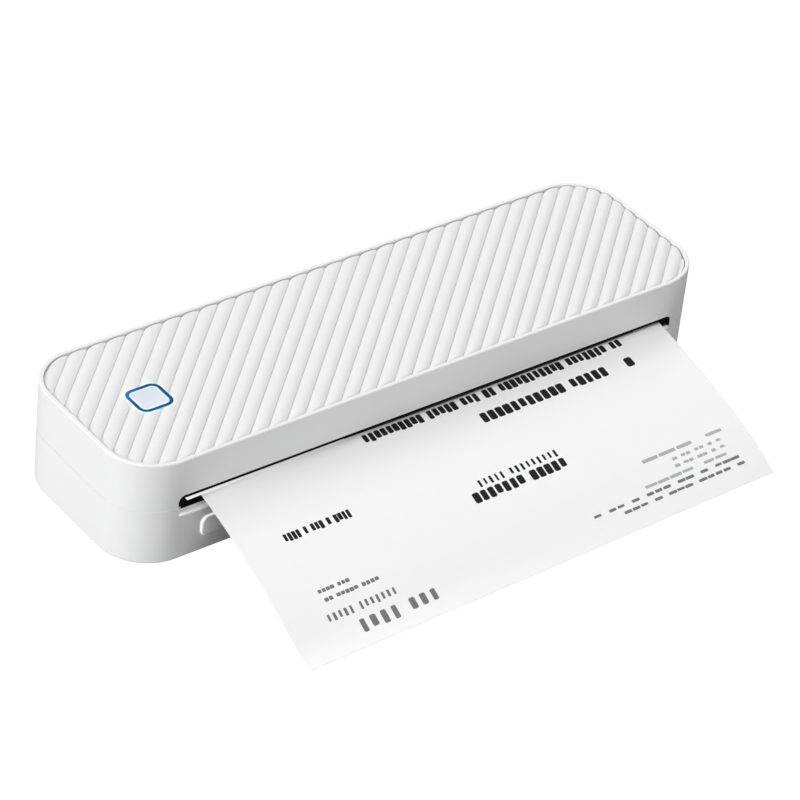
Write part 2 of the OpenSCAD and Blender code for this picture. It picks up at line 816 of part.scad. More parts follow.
module ribbed_panel() {
    reach = (body_l + body_w)/2;
    low_z = panel_z;
    first = floor(-2*reach/rib_pitch);
    last = -first;
    bends = 4;
    phase = rib_phase*sin(rib_angle);
    crest_h = rib_crest_z - panel_z;
    color("whitesmoke") difference() {
        intersection() {
            translate([0, 0, low_z]) linear_extrude(panel_recess) plan(rim_w + slip);
            translate([0, 0, low_z]) rotate([0, 0, rib_angle - 90]) rotate([90, 0, 0])
                translate([0, 0, -reach]) linear_extrude(2*reach)
                    polygon(concat(
                        [for (k = [first:last - 1], j = [0:bends - 1])
                            [phase + (k + j/bends)*rib_pitch, crest_h - rib_sag*pow(2*j/bends - 1, 2)]],
                        [[phase + last*rib_pitch, crest_h - rib_sag], [phase + last*rib_pitch, 0],
                         [phase + first*rib_pitch, 0]]));
        }
        translate([button_x, 0, low_z - cut]) linear_extrude(panel_recess + 2*cut)
            soft_square(ring_hole, ring_r + slip);
    }
}

module exit_bar() {
    x0 = sheet_x0 - exit_bar_side;
    x1 = sheet_x1 + exit_bar_side/2;
    top = exit_bar_z + exit_bar_t;
    inner_y = front_y + exit_set_back;
    color("white") {
        // The front edge runs in from the left end to the middle of the sheet.
        translate([0, 0, exit_bar_z]) linear_extrude(exit_bar_t)
            polygon([[x0, front_y - exit_bar_nose], [feed_x, inner_y], [x1, inner_y],
                     [x1, front_in_y], [x0, front_in_y]]);
        block([sheet_x0, front_in_y - slip, exit_bar_z], [sheet_x1, front_in_y + exit_bar_back, top]);
        for (k = [-1:1]) translate([feed_x + k*exit_lug_share*sheet_w, 0, 0])
            block([-exit_lug_w/2, front_in_y, top - slip],
                  [exit_lug_w/2, front_in_y + exit_lug_t, slot_top_z + exit_lug_h]);
    }
}

module button_light_ring() {
    color("dodgerblue") translate([button_x, 0, board_top_z]) linear_extrude(rib_crest_z - board_top_z)
        difference() {
            soft_square(ring_size, ring_r);
            soft_square(ring_size - 2*ring_w, ring_r - ring_w);
        }
}

module button_board() {
    color("green") {
        block([button_x - board_l/2, -board_w/2, board_z], [button_x + board_l/2, board_w/2, board_top_z]);
        translate([button_x, 0, board_top_z - slip]) cylinder(h = switch_h + slip, r = switch_r);
    }
}

module button_spring() {
    color("silver") translate([button_x, 0, board_top_z])
        sleeve(button_spring_top - board_top_z, button_spring_r, button_spring_wire);
}

module power_button() {
    color("lightblue") {
        translate([button_x, 0, cap_top_z - cap_t]) linear_extrude(cap_t) soft_square(cap_size, cap_r);
        translate([button_x, 0, cap_top_z - cap_t - cap_stem]) cylinder(h = cap_stem + slip, r = stem_r);
    }
}

module print_head() {
    color("tan") block([feed_x - head_l/2, platen_y - head_w/2, head_z],
                       [feed_x + head_l/2, platen_y + head_w/2, head_z + head_t]);
}

module heat_sink() {
    color("silver") difference() {
        block([feed_x - head_l/2, platen_y - head_w/2, sink_z],
              [feed_x + head_l/2, platen_y + head_w/2, sink_z + sink_h]);
        for (side = [-1, 1])
            block([feed_x - head_l/2 - cut, platen_y + side*fin_y - fin_w/2, sink_z + sink_h - fin_d],
                  [feed_x + head_l/2 + cut, platen_y + side*fin_y + fin_w/2, sink_z + sink_h + cut]);
    }
}

module head_springs() {
    color("gray") for (k = [-1:1])
        translate([feed_x + k*head_spring_share*sheet_w, platen_y, sink_z + sink_h])
            sleeve(plate_z - sink_z - sink_h, head_spring_r, head_spring_wire);
}

// End cheek of the ribbon unit, with a bore for each spool.
module ribbon_cheek(x) {
    color("dimgray") difference() {
        block([x, take_up_y - cheek_nose, cheek_low_z], [x + cheek_t, supply_y + cheek_nose, plate_z]);
        for (y = [take_up_y, supply_y]) rod(x - cut, cheek_t + 2*cut, y, spool_z, journal_r + run_fit);
    }
}

module ribbon_cheek_left() {
    ribbon_cheek(cheek_l_x);
}

module ribbon_cheek_right() {
    ribbon_cheek(cheek_r_x);
}

// The film hangs between the two rolls and runs flat under the head.
module ribbon_film() {
    low = film_z;
    high = spool_z - roll_r - gap;
    front = platen_y - film_flat;
    rear = platen_y + film_flat;
    color("black") along_x(feed_x - film_w/2, film_w)
        polygon([[take_up_y, high - film_t], [front, low], [rear, low], [supply_y, high - film_t],
                 [supply_y, high], [rear, low + film_t], [front, low + film_t], [take_up_y, high]]);
}

module hinge_pin(x) {
    color("silver") rod(x - pin_l/2, pin_l, hinge_y, hinge_z, hinge_pin_r);
}

module hinge_pin_left() {
    hinge_pin(-hinge_span/2);
}

module hinge_pin_right() {
    hinge_pin(hinge_span/2);
}

module release_tab() {
    color("whitesmoke") {
        translate([tab_x, latch_y, tab_z]) rotate([90, 0, 0])
            linear_extrude(latch_y - front_y + tab_proud) soft_oblong(tab_w, tab_h, tab_r);
    }
}

module latch_bar() {
    color("gray") {
        block([arm_x(-1), latch_y, tab_z - latch_h/2],
              [arm_x(1) + arm_w, latch_y + latch_t, tab_z + latch_h/2]);
        for (side = [-1, 1])
            block([arm_x(side), latch_y, tab_z - latch_h/2],
                  [arm_x(side) + arm_w, latch_y + latch_t, arm_top_z]);
    }
}

module platen_shaft() {
    x0 = plate_l_x - side_t - bush_flange_t - shaft_end;
    color("silver") rod(x0, gear_x + gear_t + shaft_end - x0, platen_y, platen_z, shaft_r);
}

module platen_roller() {
    color("dimgray") difference() {
        rod(feed_x - platen_l/2, platen_l, platen_y, platen_z, platen_r);
        rod(feed_x - platen_l/2 - cut, platen_l + 2*cut, platen_y, platen_z, shaft_r + pin_slip);
    }
}

module platen_gear() {
    color("ivory") gear(platen_teeth, platen_to_idler, platen_y, platen_z, shaft_r + pin_slip);
}

module idler_gear() {
    color("ivory") gear(idler_teeth, idler_turn, idler_y, idler_z, stud_r + run_fit);
}

module motor_pinion() {
    shaft_x0 = plate_r_x - motor_nose_l + gap;
    color("ivory") gear(pinion_teeth, pinion_turn, motor_y, motor_z, motor_shaft_r - slip);
    color("silver") rod(shaft_x0, gear_x + gear_t + shaft_end - shaft_x0, motor_y, motor_z, motor_shaft_r);
}

// A spool's core with its flanges and journals.
module spool(y) {
    x0 = cheek_l_x + cheek_t + spool_side;
    x1 = cheek_r_x - spool_side;
    rod(x0, x1 - x0, y, spool_z, core_r);
    rod(x0, flange_t, y, spool_z, flange_r);
    rod(x1 - flange_t, flange_t, y, spool_z, flange_r);
    rod(cheek_l_x, cheek_r_x + cheek_t - cheek_l_x, y, spool_z, journal_r);
}

// The film wound on a spool.
module roll(y) {
    difference() {
        rod(feed_x - film_w/2, film_w, y, spool_z, roll_r);
        rod(feed_x - film_w/2 - cut, film_w + 2*cut, y, spool_z, core_r + pin_slip);
    }
}

module supply_spool() {
    color("lightgray") spool(supply_y);
}

module supply_roll() {
    color("black") roll(supply_y);
}

module take_up_spool() {
    color("lightgray") spool(take_up_y);
}

module take_up_roll() {
    color("black") roll(take_up_y);
}

// The sheet lies flat inside and bends down in front of the slot.
module paper_sheet() {
    outer = [for (k = [0:sheet_steps]) k*droop_run/sheet_steps];
    color("white") along_x(sheet_x0, sheet_w)
        polygon(concat(
            [[sheet_rear_y, feed_z]],
            [for (u = outer) [bend_y - u, sheet_z(u)]],
            [for (k = [sheet_steps:-1:0]) [bend_y - outer[k], sheet_z(outer[k]) + sheet_t]],
            [[sheet_rear_y, feed_z + sheet_t]]));
}

lower_housing();
rubber_feet();
side_plate_left();
side_plate_right();
chassis_screws();
front_paper_guide();
rear_paper_guide();
platen_bush_left();
platen_bush_right();
stepper_motor();
idler_stud();
battery_pack();
main_board();
board_screws();
usb_socket();
paper_sensor();
release_springs();
top_cover();
ribbed_panel();
exit_bar();
button_light_ring();
button_board();
button_spring();
print_head();
heat_sink();
head_springs();
ribbon_cheek_left();
ribbon_cheek_right();
ribbon_film();
hinge_pin_left();
hinge_pin_right();
power_button();
release_tab();
latch_bar();
platen_shaft();
platen_roller();
platen_gear();
idler_gear();
motor_pinion();
supply_spool();
supply_roll();
take_up_spool();
take_up_roll();
paper_sheet();
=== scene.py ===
# Portable printer: a slim white bar with a ribbed, hinged cover, a lit power key and a printed
# sheet on its way out of the front slot. Lengths are in metres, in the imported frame: +X runs
# along the bar, the sheet leaves at the front, which is -Y, and the table is at the lowest Z.
import math
import random

import bmesh
import bpy
from mathutils import Matrix, Quaternion, Vector
from mathutils.geometry import delaunay_2d_cdt


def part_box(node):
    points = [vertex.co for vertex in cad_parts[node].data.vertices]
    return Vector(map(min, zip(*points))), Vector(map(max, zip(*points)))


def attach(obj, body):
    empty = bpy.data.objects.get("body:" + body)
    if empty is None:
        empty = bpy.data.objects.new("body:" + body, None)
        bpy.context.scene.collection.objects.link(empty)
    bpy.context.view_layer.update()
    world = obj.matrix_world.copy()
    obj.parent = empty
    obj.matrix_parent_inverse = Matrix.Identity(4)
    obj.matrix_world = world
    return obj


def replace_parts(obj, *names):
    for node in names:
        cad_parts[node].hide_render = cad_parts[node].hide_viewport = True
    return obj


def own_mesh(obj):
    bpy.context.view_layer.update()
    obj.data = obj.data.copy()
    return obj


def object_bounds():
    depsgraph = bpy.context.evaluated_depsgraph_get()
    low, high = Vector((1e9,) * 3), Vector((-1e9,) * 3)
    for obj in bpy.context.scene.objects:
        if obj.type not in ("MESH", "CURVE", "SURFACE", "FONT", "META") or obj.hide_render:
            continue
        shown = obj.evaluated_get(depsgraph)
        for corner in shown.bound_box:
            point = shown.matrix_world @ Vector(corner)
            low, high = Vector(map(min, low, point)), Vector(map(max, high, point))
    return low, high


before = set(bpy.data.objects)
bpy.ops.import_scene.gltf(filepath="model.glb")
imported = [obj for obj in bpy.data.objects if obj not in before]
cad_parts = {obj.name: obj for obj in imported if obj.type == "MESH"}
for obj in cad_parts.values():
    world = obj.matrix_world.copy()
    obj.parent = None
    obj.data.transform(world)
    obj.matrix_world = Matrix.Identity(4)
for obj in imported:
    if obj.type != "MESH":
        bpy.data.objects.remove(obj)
cad_low, cad_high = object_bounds()

# The viewpoint: a long lens from above the left front corner, rolled a few degrees, as a
# product shot is taken. The picture is square, 800 by 800.
EYE = Vector((-0.78062, -0.94114, 0.89992))
AIM = Vector((-0.00156, -0.02153, 0.02))
ROLL = math.radians(6.315)
lens = bpy.data.cameras.new("long_lens")
lens.sensor_width = 36.0
lens.lens = 182.233
lens.clip_start = 0.1
lens.clip_end = 30.0
viewpoint = bpy.data.objects.new("viewpoint", lens)
bpy.context.scene.collection.objects.link(viewpoint)
turned = (AIM - EYE).to_track_quat("-Z", "Y") @ Quaternion((0, 0, 1), ROLL)
viewpoint.matrix_world = Matrix.Translation(EYE) @ turned.to_matrix().to_4x4()
bpy.context.scene.camera = viewpoint
bpy.context.scene.view_settings.view_transform = "Standard"
bpy.context.scene.view_settings.look = "None"


# The studio: a white sweep burnt out to pure white, as in a cut-out product picture, and six
# soft boxes. The strong one stands beyond the left end, which is the brightest side. The weak
# ones stand behind, above and in front, and leave the front wall a middle grey.
def nodes_of(material):
    """Empty node tree of a material, with its output node."""
    material.use_nodes = True
    tree = material.node_tree
    tree.nodes.clear()
    return tree, tree.nodes.new("ShaderNodeOutputMaterial")


def burnt_out(tree, lit, seen_white, out):
    """Joins a shader for the light with a pure white one for the eye."""
    seen = tree.nodes.new("ShaderNodeLightPath")
    either = tree.nodes.new("ShaderNodeMixShader")
    tree.links.new(seen.outputs["Is Camera Ray"], either.inputs["Fac"])
    tree.links.new(lit.outputs[0], either.inputs[1])
    tree.links.new(seen_white.outputs[0], either.inputs[2])
    tree.links.new(either.outputs[0], out.inputs["Surface"])


PURE_WHITE = 1.05
SWEEP_HALF = 3.0
SWEEP_GREY = 0.3
sweep_paint = bpy.data.materials.new("white_sweep")
tree, out = nodes_of(sweep_paint)
seen_white = tree.nodes.new("ShaderNodeEmission")
seen_white.inputs["Strength"].default_value = PURE_WHITE
matt = tree.nodes.new("ShaderNodeBsdfDiffuse")
matt.inputs["Color"].default_value = (SWEEP_GREY, SWEEP_GREY, SWEEP_GREY, 1)
burnt_out(tree, matt, seen_white, out)
sweep_mesh = bpy.data.meshes.new("sweep")
sweep_corners = [(x * SWEEP_HALF, y * SWEEP_HALF, cad_low[2])
                 for x, y in ((-1, -1), (1, -1), (1, 1), (-1, 1))]
sweep_mesh.from_pydata(sweep_corners, [], [(0, 1, 2, 3)])
sweep_mesh.materials.append(sweep_paint)
sweep = bpy.data.objects.new("sweep", sweep_mesh)
bpy.context.scene.collection.objects.link(sweep)

ROOM_LIGHT = 0.298
room = bpy.data.worlds.new("studio")
bpy.context.scene.world = room
room.use_nodes = True
room.node_tree.nodes.clear()
out = room.node_tree.nodes.new("ShaderNodeOutputWorld")
wall_light = room.node_tree.nodes.new("ShaderNodeBackground")
seen_white = room.node_tree.nodes.new("ShaderNodeBackground")
for shader, strength in ((wall_light, ROOM_LIGHT), (seen_white, PURE_WHITE)):
    shader.inputs["Color"].default_value = (1, 1, 1, 1)
    shader.inputs["Strength"].default_value = strength
burnt_out(room.node_tree, wall_light, seen_white, out)

LIGHT_AIM = Vector((0, 0, 0.02))


def soft_box(name, place, side, watts):
    """Square soft box that points at the printer."""
    box = bpy.data.lights.new(name, "AREA")
    box.shape = "RECTANGLE"
    box.size = side
    box.size_y = side
    box.energy = watts
    holder = bpy.data.objects.new(name, box)
    bpy.context.scene.collection.objects.link(holder)
    holder.location = place
    holder.rotation_euler = (LIGHT_AIM - Vector(place)).to_track_quat("-Z", "Y").to_euler()


for name, place, side, watts in (("left_box", (-1.9, 0.0, 0.5), 0.8, 25.3),
                                 ("back_left_box", (-1.6, 1.0, 0.45), 0.7, 3.5),
                                 ("back_box", (0.0, 1.0, 1.7), 0.9, 6.5),
                                 ("top_box", (0.0, 0.0, 2.0), 0.9, 9.5),
                                 ("back_right_box", (1.3, 1.0, 1.2), 0.9, 9.0),
                                 ("front_box", (-0.2, -1.9, 0.6), 0.8, 8.2)):
    soft_box(name, place, side, watts)


# The lower housing is a tray moulded in white ABS, spark-eroded to a fine matt grain. A low
# tongue runs round its rim into the cover, so the joint between the two shows no dark line.
def finish(name, colour, second, patch, rough, grain, relief, metal=0.0, stretch=(1, 1, 1),
           specular=0.5, painted_glow=0.0):
    """Moulded or metal surface: two tones in soft patches, roughness that varies with them,
    and a fine grain in relief. patch and grain are lengths, rough is (lowest, highest). The
    glow is painted light: a faint emission that makes a part look brighter, as if lit more
    strongly, though it is no lamp."""
    material = bpy.data.materials.new(name)
    tree, out = nodes_of(material)
    add = tree.nodes.new
    surface = add("ShaderNodeBsdfPrincipled")
    surface.inputs["Metallic"].default_value = metal
    surface.inputs["Specular IOR Level"].default_value = specular
    surface.inputs["Emission Strength"].default_value = painted_glow
    place = add("ShaderNodeTexCoord")
    lay = add("ShaderNodeMapping")
    lay.inputs["Scale"].default_value = stretch
    tree.links.new(place.outputs["Object"], lay.inputs["Vector"])
    patches = add("ShaderNodeTexNoise")
    patches.inputs["Scale"].default_value = 1 / patch
    patches.inputs["Detail"].default_value = 3
    tones = add("ShaderNodeMix")
    tones.data_type = "RGBA"
    tones.inputs["A"].default_value = (*colour, 1)
    tones.inputs["B"].default_value = (*second, 1)
    spread = add("ShaderNodeMapRange")
    spread.inputs["To Min"].default_value = rough[0]
    spread.inputs["To Max"].default_value = rough[1]
    fine = add("ShaderNodeTexNoise")
    fine.inputs["Scale"].default_value = 1 / grain
    fine.inputs["Detail"].default_value = 2
    raised = add("ShaderNodeBump")
    raised.inputs["Strength"].default_value = 1.0
    raised.inputs["Distance"].default_value = relief
    for noise in (patches, fine):
        tree.links.new(lay.outputs["Vector"], noise.inputs["Vector"])
    tree.links.new(patches.outputs["Fac"], tones.inputs["Factor"])
    tree.links.new(patches.outputs["Fac"], spread.inputs["Value"])
    tree.links.new(fine.outputs["Fac"], raised.inputs["Height"])
    tree.links.new(tones.outputs["Result"], surface.inputs["Base Color"])
    tree.links.new(spread.outputs["Result"], surface.inputs["Roughness"])
    tree.links.new(raised.outputs["Normal"], surface.inputs["Normal"])
    tree.links.new(surface.outputs[0], out.inputs["Surface"])
    return material


def dress(material, *nodes):
    """Gives parts that are carried over from the frame their material."""
    for node in nodes:
        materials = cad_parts[node].data.materials
        materials.clear()
        materials.append(material)


def rounded(half_x, half_y, radius, middle=(0, 0), steps=16):
    """Points round a rectangle with rounded corners, anticlockwise from its right side."""
    points = []
    for corner, (sx, sy) in enumerate(((1, 1), (-1, 1), (-1, -1), (1, -1))):
        for step in range(steps + 1):
            angle = math.pi / 2 * (corner + step / steps)
            points.append((middle[0] + sx * (half_x - radius) + radius * math.cos(angle),
                           middle[1] + sy * (half_y - radius) + radius * math.sin(angle)))
    return points


def loft(shape, loops, ring=False):
    """Skins closed loops of points one after the other, and caps the ends or joins them."""
    rows = [[shape.verts.new(point) for point in loop] for loop in loops]
    pairs = list(zip(rows, rows[1:])) + ([(rows[-1], rows[0])] if ring else [])
    for low, high in pairs:
        for k in range(len(low)):
            n = (k + 1) % len(low)
            shape.faces.new((low[k], low[n], high[n], high[k]))
    if not ring:
        shape.faces.new(list(reversed(rows[0])))
        shape.faces.new(rows[-1])


def piece(name, shape, materials, body, sharp=30):
    """Turns a mesh in the making into a piece that rides on a body."""
    bmesh.ops.recalc_face_normals(shape, faces=shape.faces[:])
    mesh = bpy.data.meshes.new(name)
    shape.to_mesh(mesh)
    shape.free()
    for material in materials:
        mesh.materials.append(material)
    mesh.shade_smooth()
    mesh.set_sharp_from_angle(angle=math.radians(sharp))
    thing = bpy.data.objects.new(name, mesh)
    bpy.context.scene.collection.objects.link(thing)
    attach(thing, body)
    return thing


BODY_HALF = [round(half, 6) for half in cad_high[:2]]
CORNER = 0.020
CORNER_STEPS = 24
PARTING = 0.0234                  # the height of the joint between tray and cover
SLOT_ENDS = (-0.1105, 0.1135)
TONGUE_FACES = (0.00015, 0.0007)  # its outer and inner face, in from the wall's outer face
TONGUE_LOW = PARTING - 0.0002
TONGUE_TOP = PARTING + 0.00026
TONGUE_END = SLOT_ENDS[1] + 0.0004
shell_white = finish("shell_white", (0.845, 0.845, 0.845), (0.825, 0.828, 0.83), patch=0.03,
                     rough=(0.42, 0.5), grain=0.0004, relief=0.000006)
dress(shell_white, "lower_housing")
outer, inner = [rounded(BODY_HALF[0] - inset, BODY_HALF[1] - inset, CORNER - inset, steps=CORNER_STEPS)
                for inset in TONGUE_FACES]
last_corner = 3 * (CORNER_STEPS + 1)
start = next(k for k in range(last_corner, len(outer)) if outer[k][0] > TONGUE_END)
tongue = bmesh.new()
loft(tongue, [[(*outer[k], TONGUE_LOW), (*outer[k], TONGUE_TOP),
               (*inner[k], TONGUE_TOP), (*inner[k], TONGUE_LOW)]
              for k in list(range(start, len(outer))) + list(range(last_corner))])
piece("housing_tongue", tongue, [shell_white], "base")

# The tray's lip under the slot ends in a moulded bead, which stiffens the long thin edge and
# runs out softly at both ends. A short stop, moulded on the lip, closes the slot's right end
# beside the sheet.
mm = 0.001
BEAD_SECTION = ((-37.5, 21.1), (-38.25, 21.05), (-38.7, 20.85), (-38.98, 20.45), (-38.9, 19.95),
                (-38.5, 19.6), (-37.5, 19.45))                     # Y and Z, in mm
BEAD_MIDDLE = (-37.9, 20.3)
BEAD_SIZES = ((-111.0, 0.35), (-110.5, 0.6), (-109.6, 0.8), (-107.8, 0.92), (-104.0, 1.0),
              (112.0, 1.0), (113.0, 0.92), (113.6, 0.7), (113.9, 0.35))   # X in mm, share of full size
# Painted highlight: this white is brighter than the tray's and glows faintly, so the bead and the stop look
# lit.
bead_white_painted_highlight = finish("bead_white_painted_highlight", (0.93, 0.93, 0.93), (0.92, 0.92, 0.92), patch=0.02,
                    rough=(0.3, 0.4), grain=0.0003, relief=0.000003, painted_glow=0.12)
bead = bmesh.new()
loft(bead, [[(x * mm, (BEAD_MIDDLE[0] + (y - BEAD_MIDDLE[0]) * size) * mm,
              (BEAD_MIDDLE[1] + (z - BEAD_MIDDLE[1]) * size) * mm) for y, z in BEAD_SECTION]
            for x, size in BEAD_SIZES])
piece("lip_bead", bead, [bead_white_painted_highlight], "base", sharp=50)


def brick(shape, low, high, edge, corner=None, steps=3):
    """Block with rounded corners and softened upper and lower edges."""
    half = ((high[0] - low[0]) / 2, (high[1] - low[1]) / 2)
    middle = ((high[0] + low[0]) / 2, (high[1] + low[1]) / 2)
    corner = corner or edge
    loops = [(low[2] + rise, inset) for rise, inset in ((0, edge), (edge * 0.3, edge * 0.3), (edge, 0))]
    loops += [(high[2] - (z - low[2]), inset) for z, inset in reversed(loops)]
    loft(shape, [[(*p, z) for p in rounded(half[0] - inset, half[1] - inset,
                                           max(corner - inset, edge * 0.1), middle, steps)]
                 for z, inset in loops])


SHEET_SIDES = (-0.1020, 0.1080)   # the left and right side of the sheet's path
WALL_FRONT = -BODY_HALF[1]
STOP_GAP = 0.0004
STOP_BACK = -0.0372
STOP_HEIGHTS = (0.0221, 0.02385)  # of its underside and its top
stop = bmesh.new()
brick(stop, (SHEET_SIDES[1] + STOP_GAP, WALL_FRONT - 0.00002, STOP_HEIGHTS[0]),
      (SLOT_ENDS[1] - 0.0001, STOP_BACK, STOP_HEIGHTS[1]), 0.0003)
piece("lip_stop", stop, [bead_white_painted_highlight], "base")

# A black felt is glued on the lip under the slot and stands up behind the wall at both ends of
# the sheet's path. It is painted shade: it makes the open ends of the slot and the lip under
# it look black, where the slot's deep shade would be.
LIP_TOP = 0.0223
FELT_FRONT = -0.03682
FELT_BACK = -0.03515
FELT_HEM = (-0.03700, 0.02208)   # its hem is folded over the lip's bevel
FELT_HIGH = 0.0283               # the height of its upright ends
FELT_THICK = 0.0002
FELT_RISE = 0.00005              # its back edge, over its face
FELT_GLUE = 0.00002
HEM_PROUD = (0.00012, 0.00006)   # the hem's thickness, forwards and upwards
END_GAP = 0.0001
SIDE_GAP = 0.0003
WALL_INSIDE = -0.0356
felt_low = LIP_TOP + FELT_GLUE
felt_face = LIP_TOP + FELT_THICK
behind_wall = WALL_INSIDE + END_GAP
felt_painted_shade = finish("felt_painted_shade", (0.006, 0.006, 0.006), (0.009, 0.009, 0.009), patch=0.001,
                    rough=(0.9, 1.0), grain=0.00015, relief=0.00003, specular=0.1)
felt = bmesh.new()
for x0, x1, high in ((SLOT_ENDS[0] + END_GAP, SHEET_SIDES[0] - SIDE_GAP, FELT_HIGH),
                     (SHEET_SIDES[0] - SIDE_GAP, SHEET_SIDES[1] + SIDE_GAP, felt_face + FELT_RISE),
                     (SHEET_SIDES[1] + SIDE_GAP, SLOT_ENDS[1] - END_GAP, FELT_HIGH)):
    section = ((FELT_FRONT, felt_low), FELT_HEM, (FELT_HEM[0] - HEM_PROUD[0], FELT_HEM[1] + HEM_PROUD[1]),
               (FELT_FRONT - END_GAP, felt_face), (behind_wall, felt_face),
               (behind_wall, high), (FELT_BACK, high), (FELT_BACK, felt_low))
    loft(felt, [[(x, y, z) for y, z in section] for x in (x0, x1)])
piece("slot_painted_shade_felt", felt, [felt_painted_shade], "base")

# Five round feet are cut from black rubber sheet and glued under the tray. They keep the printer
# from sliding when the sheet is pulled or the cover is lifted.
foot_rubber = finish("foot_rubber", (0.05, 0.05, 0.052), (0.035, 0.035, 0.037), patch=0.004,
                     rough=(0.7, 0.85), grain=0.0003, relief=0.00002)
dress(foot_rubber, "rubber_feet")

# Two folded side plates in zinc-coated steel carry the print roller in turned brass bushes. They
# stand on the floor of the tray and are screwed down. The latch bar and the motor's can are
# pressed from the same sheet.
plate_steel = finish("plate_steel", (0.62, 0.63, 0.64), (0.5, 0.51, 0.52), patch=0.004,
                     rough=(0.28, 0.45), grain=0.0005, relief=0.000008, metal=1.0)
screw_steel = finish("screw_steel", (0.55, 0.55, 0.54), (0.45, 0.45, 0.45), patch=0.002,
                     rough=(0.2, 0.34), grain=0.0002, relief=0.000004, metal=1.0)
bush_brass = finish("bush_brass", (0.55, 0.36, 0.16), (0.42, 0.27, 0.12), patch=0.002,
                    rough=(0.35, 0.5), grain=0.0002, relief=0.00001, metal=1.0)
dress(plate_steel, "side_plate_left", "side_plate_right", "stepper_motor", "latch_bar")
dress(screw_steel, "chassis_screws", "board_screws", "idler_stud", "hinge_pin_left", "hinge_pin_right",
      "platen_shaft")
dress(bush_brass, "platen_bush_left", "platen_bush_right")

# The paper guides, the sensor's body and the ribbon cheeks are moulded in black ABS, satin from
# the mould. The guides and the sensor clip into the tray, the cheeks into the cover.
guide_black = finish("guide_black", (0.02, 0.02, 0.021), (0.028, 0.028, 0.03), patch=0.01,
                     rough=(0.35, 0.5), grain=0.0003, relief=0.00001)
dress(guide_black, "front_paper_guide", "rear_paper_guide", "paper_sensor", "ribbon_cheek_left",
      "ribbon_cheek_right")

# The drive: a ground rubber roller on a steel shaft in the side plates, and three gears moulded
# in natural acetal, which run from the motor's shaft over a stud to the roller's shaft.
roller_rubber = finish("roller_rubber", (0.045, 0.045, 0.048), (0.03, 0.03, 0.032), patch=0.003,
                       rough=(0.6, 0.75), grain=0.0002, relief=0.00001)
gear_acetal = finish("gear_acetal", (0.72, 0.70, 0.63), (0.66, 0.64, 0.57), patch=0.004,
                     rough=(0.3, 0.42), grain=0.0003, relief=0.000005)
dress(roller_rubber, "platen_roller")
dress(gear_acetal, "platen_gear", "idler_gear", "motor_pinion")


# Springs are wound from round steel wire. Two push the latch bar forward against the housing's
# posts, three press the print head down, and one lifts the power key.
def coil(shape, foot, axis, length, radius, wire, turns, steps=18):
    """Round wire wound round an axis. radius is to the outside, wire is the wire's radius."""
    side = Vector((1, 0, 0))
    other = axis.cross(side)
    loops = []
    for step in range(int(turns * steps) + 1):
        angle = 2 * math.pi * step / steps
        outward = side * math.cos(angle) + other * math.sin(angle)
        rise = wire + (length - 2 * wire) * step / int(turns * steps)
        middle = Vector(foot) + axis * rise + outward * (radius - wire)
        loops.append([middle + (outward * math.cos(a) + axis * math.sin(a)) * wire
                      for a in (2 * math.pi * k / 8 for k in range(8))])
    loft(shape, loops)


RELEASE_RADIUS = 0.002
SEAT_GAP = 0.00005
_, latch_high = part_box("latch_bar")
seat_low, seat_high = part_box("release_springs")
release_length = seat_high.y - latch_high.y - 2 * SEAT_GAP
release = bmesh.new()
for x in (seat_low.x + RELEASE_RADIUS, seat_high.x - RELEASE_RADIUS):
    coil(release, (x, seat_high.y - SEAT_GAP, (seat_low.z + seat_high.z) / 2), Vector((0, -1, 0)),
         release_length, RELEASE_RADIUS, wire=0.00025, turns=5)
release_coils = piece("release_coils", release, [screw_steel], "base", sharp=60)
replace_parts(release_coils, "release_springs")
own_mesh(release_coils)

HEAD_RADIUS = 0.0026
seat_low, seat_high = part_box("head_springs")
head = bmesh.new()
for share in (0, 0.5, 1):
    coil(head, (seat_low.x + HEAD_RADIUS + share * (seat_high.x - seat_low.x - 2 * HEAD_RADIUS),
                (seat_low.y + seat_high.y) / 2, seat_low.z), Vector((0, 0, 1)),
         seat_high.z - seat_low.z, HEAD_RADIUS, wire=0.00035, turns=3.5)
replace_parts(piece("head_coils", head, [screw_steel], "cover", sharp=60), "head_springs")

seat_low, seat_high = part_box("button_spring")
key_coil = bmesh.new()
coil(key_coil, ((seat_low.x + seat_high.x) / 2, 0, seat_low.z), Vector((0, 0, 1)),
     seat_high.z - seat_low.z, radius=0.003, wire=0.0003, turns=4)
key_coils = piece("key_coil", key_coil, [screw_steel], "cover", sharp=60)
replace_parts(key_coils, "button_spring")
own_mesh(key_coils)

# The battery is a flat pack in a blue shrink sleeve, held by two bands of amber tape. It lies in
# the rear half of the tray.
SLEEVE_GAP = 0.0002
PACK_EDGE = 0.0012
TAPE_WIDE = 0.006
TAPE_GAP = 0.0001
battery_sleeve = finish("battery_sleeve", (0.05, 0.10, 0.2), (0.04, 0.08, 0.17), patch=0.01,
                        rough=(0.25, 0.35), grain=0.001, relief=0.00002)
amber_tape = finish("amber_tape", (0.45, 0.17, 0.01), (0.38, 0.13, 0.01), patch=0.004,
                    rough=(0.2, 0.3), grain=0.0008, relief=0.00001)
low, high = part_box("battery_pack")
pack = bmesh.new()
brick(pack, low + Vector((SLEEVE_GAP, SLEEVE_GAP, 0)), high - Vector((SLEEVE_GAP, SLEEVE_GAP, TAPE_GAP)),
      PACK_EDGE, corner=0.003, steps=6)
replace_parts(piece("battery_cells", pack, [battery_sleeve], "base"), "battery_pack")
bands = bmesh.new()
for share in (0.12, 0.84):
    x = low.x + share * (high.x - low.x)
    brick(bands, (x, low.y + TAPE_GAP, low.z), (x + TAPE_WIDE, high.y - TAPE_GAP, high.z),
          PACK_EDGE, corner=0.0004)
piece("battery_tape", bands, [amber_tape], "base")

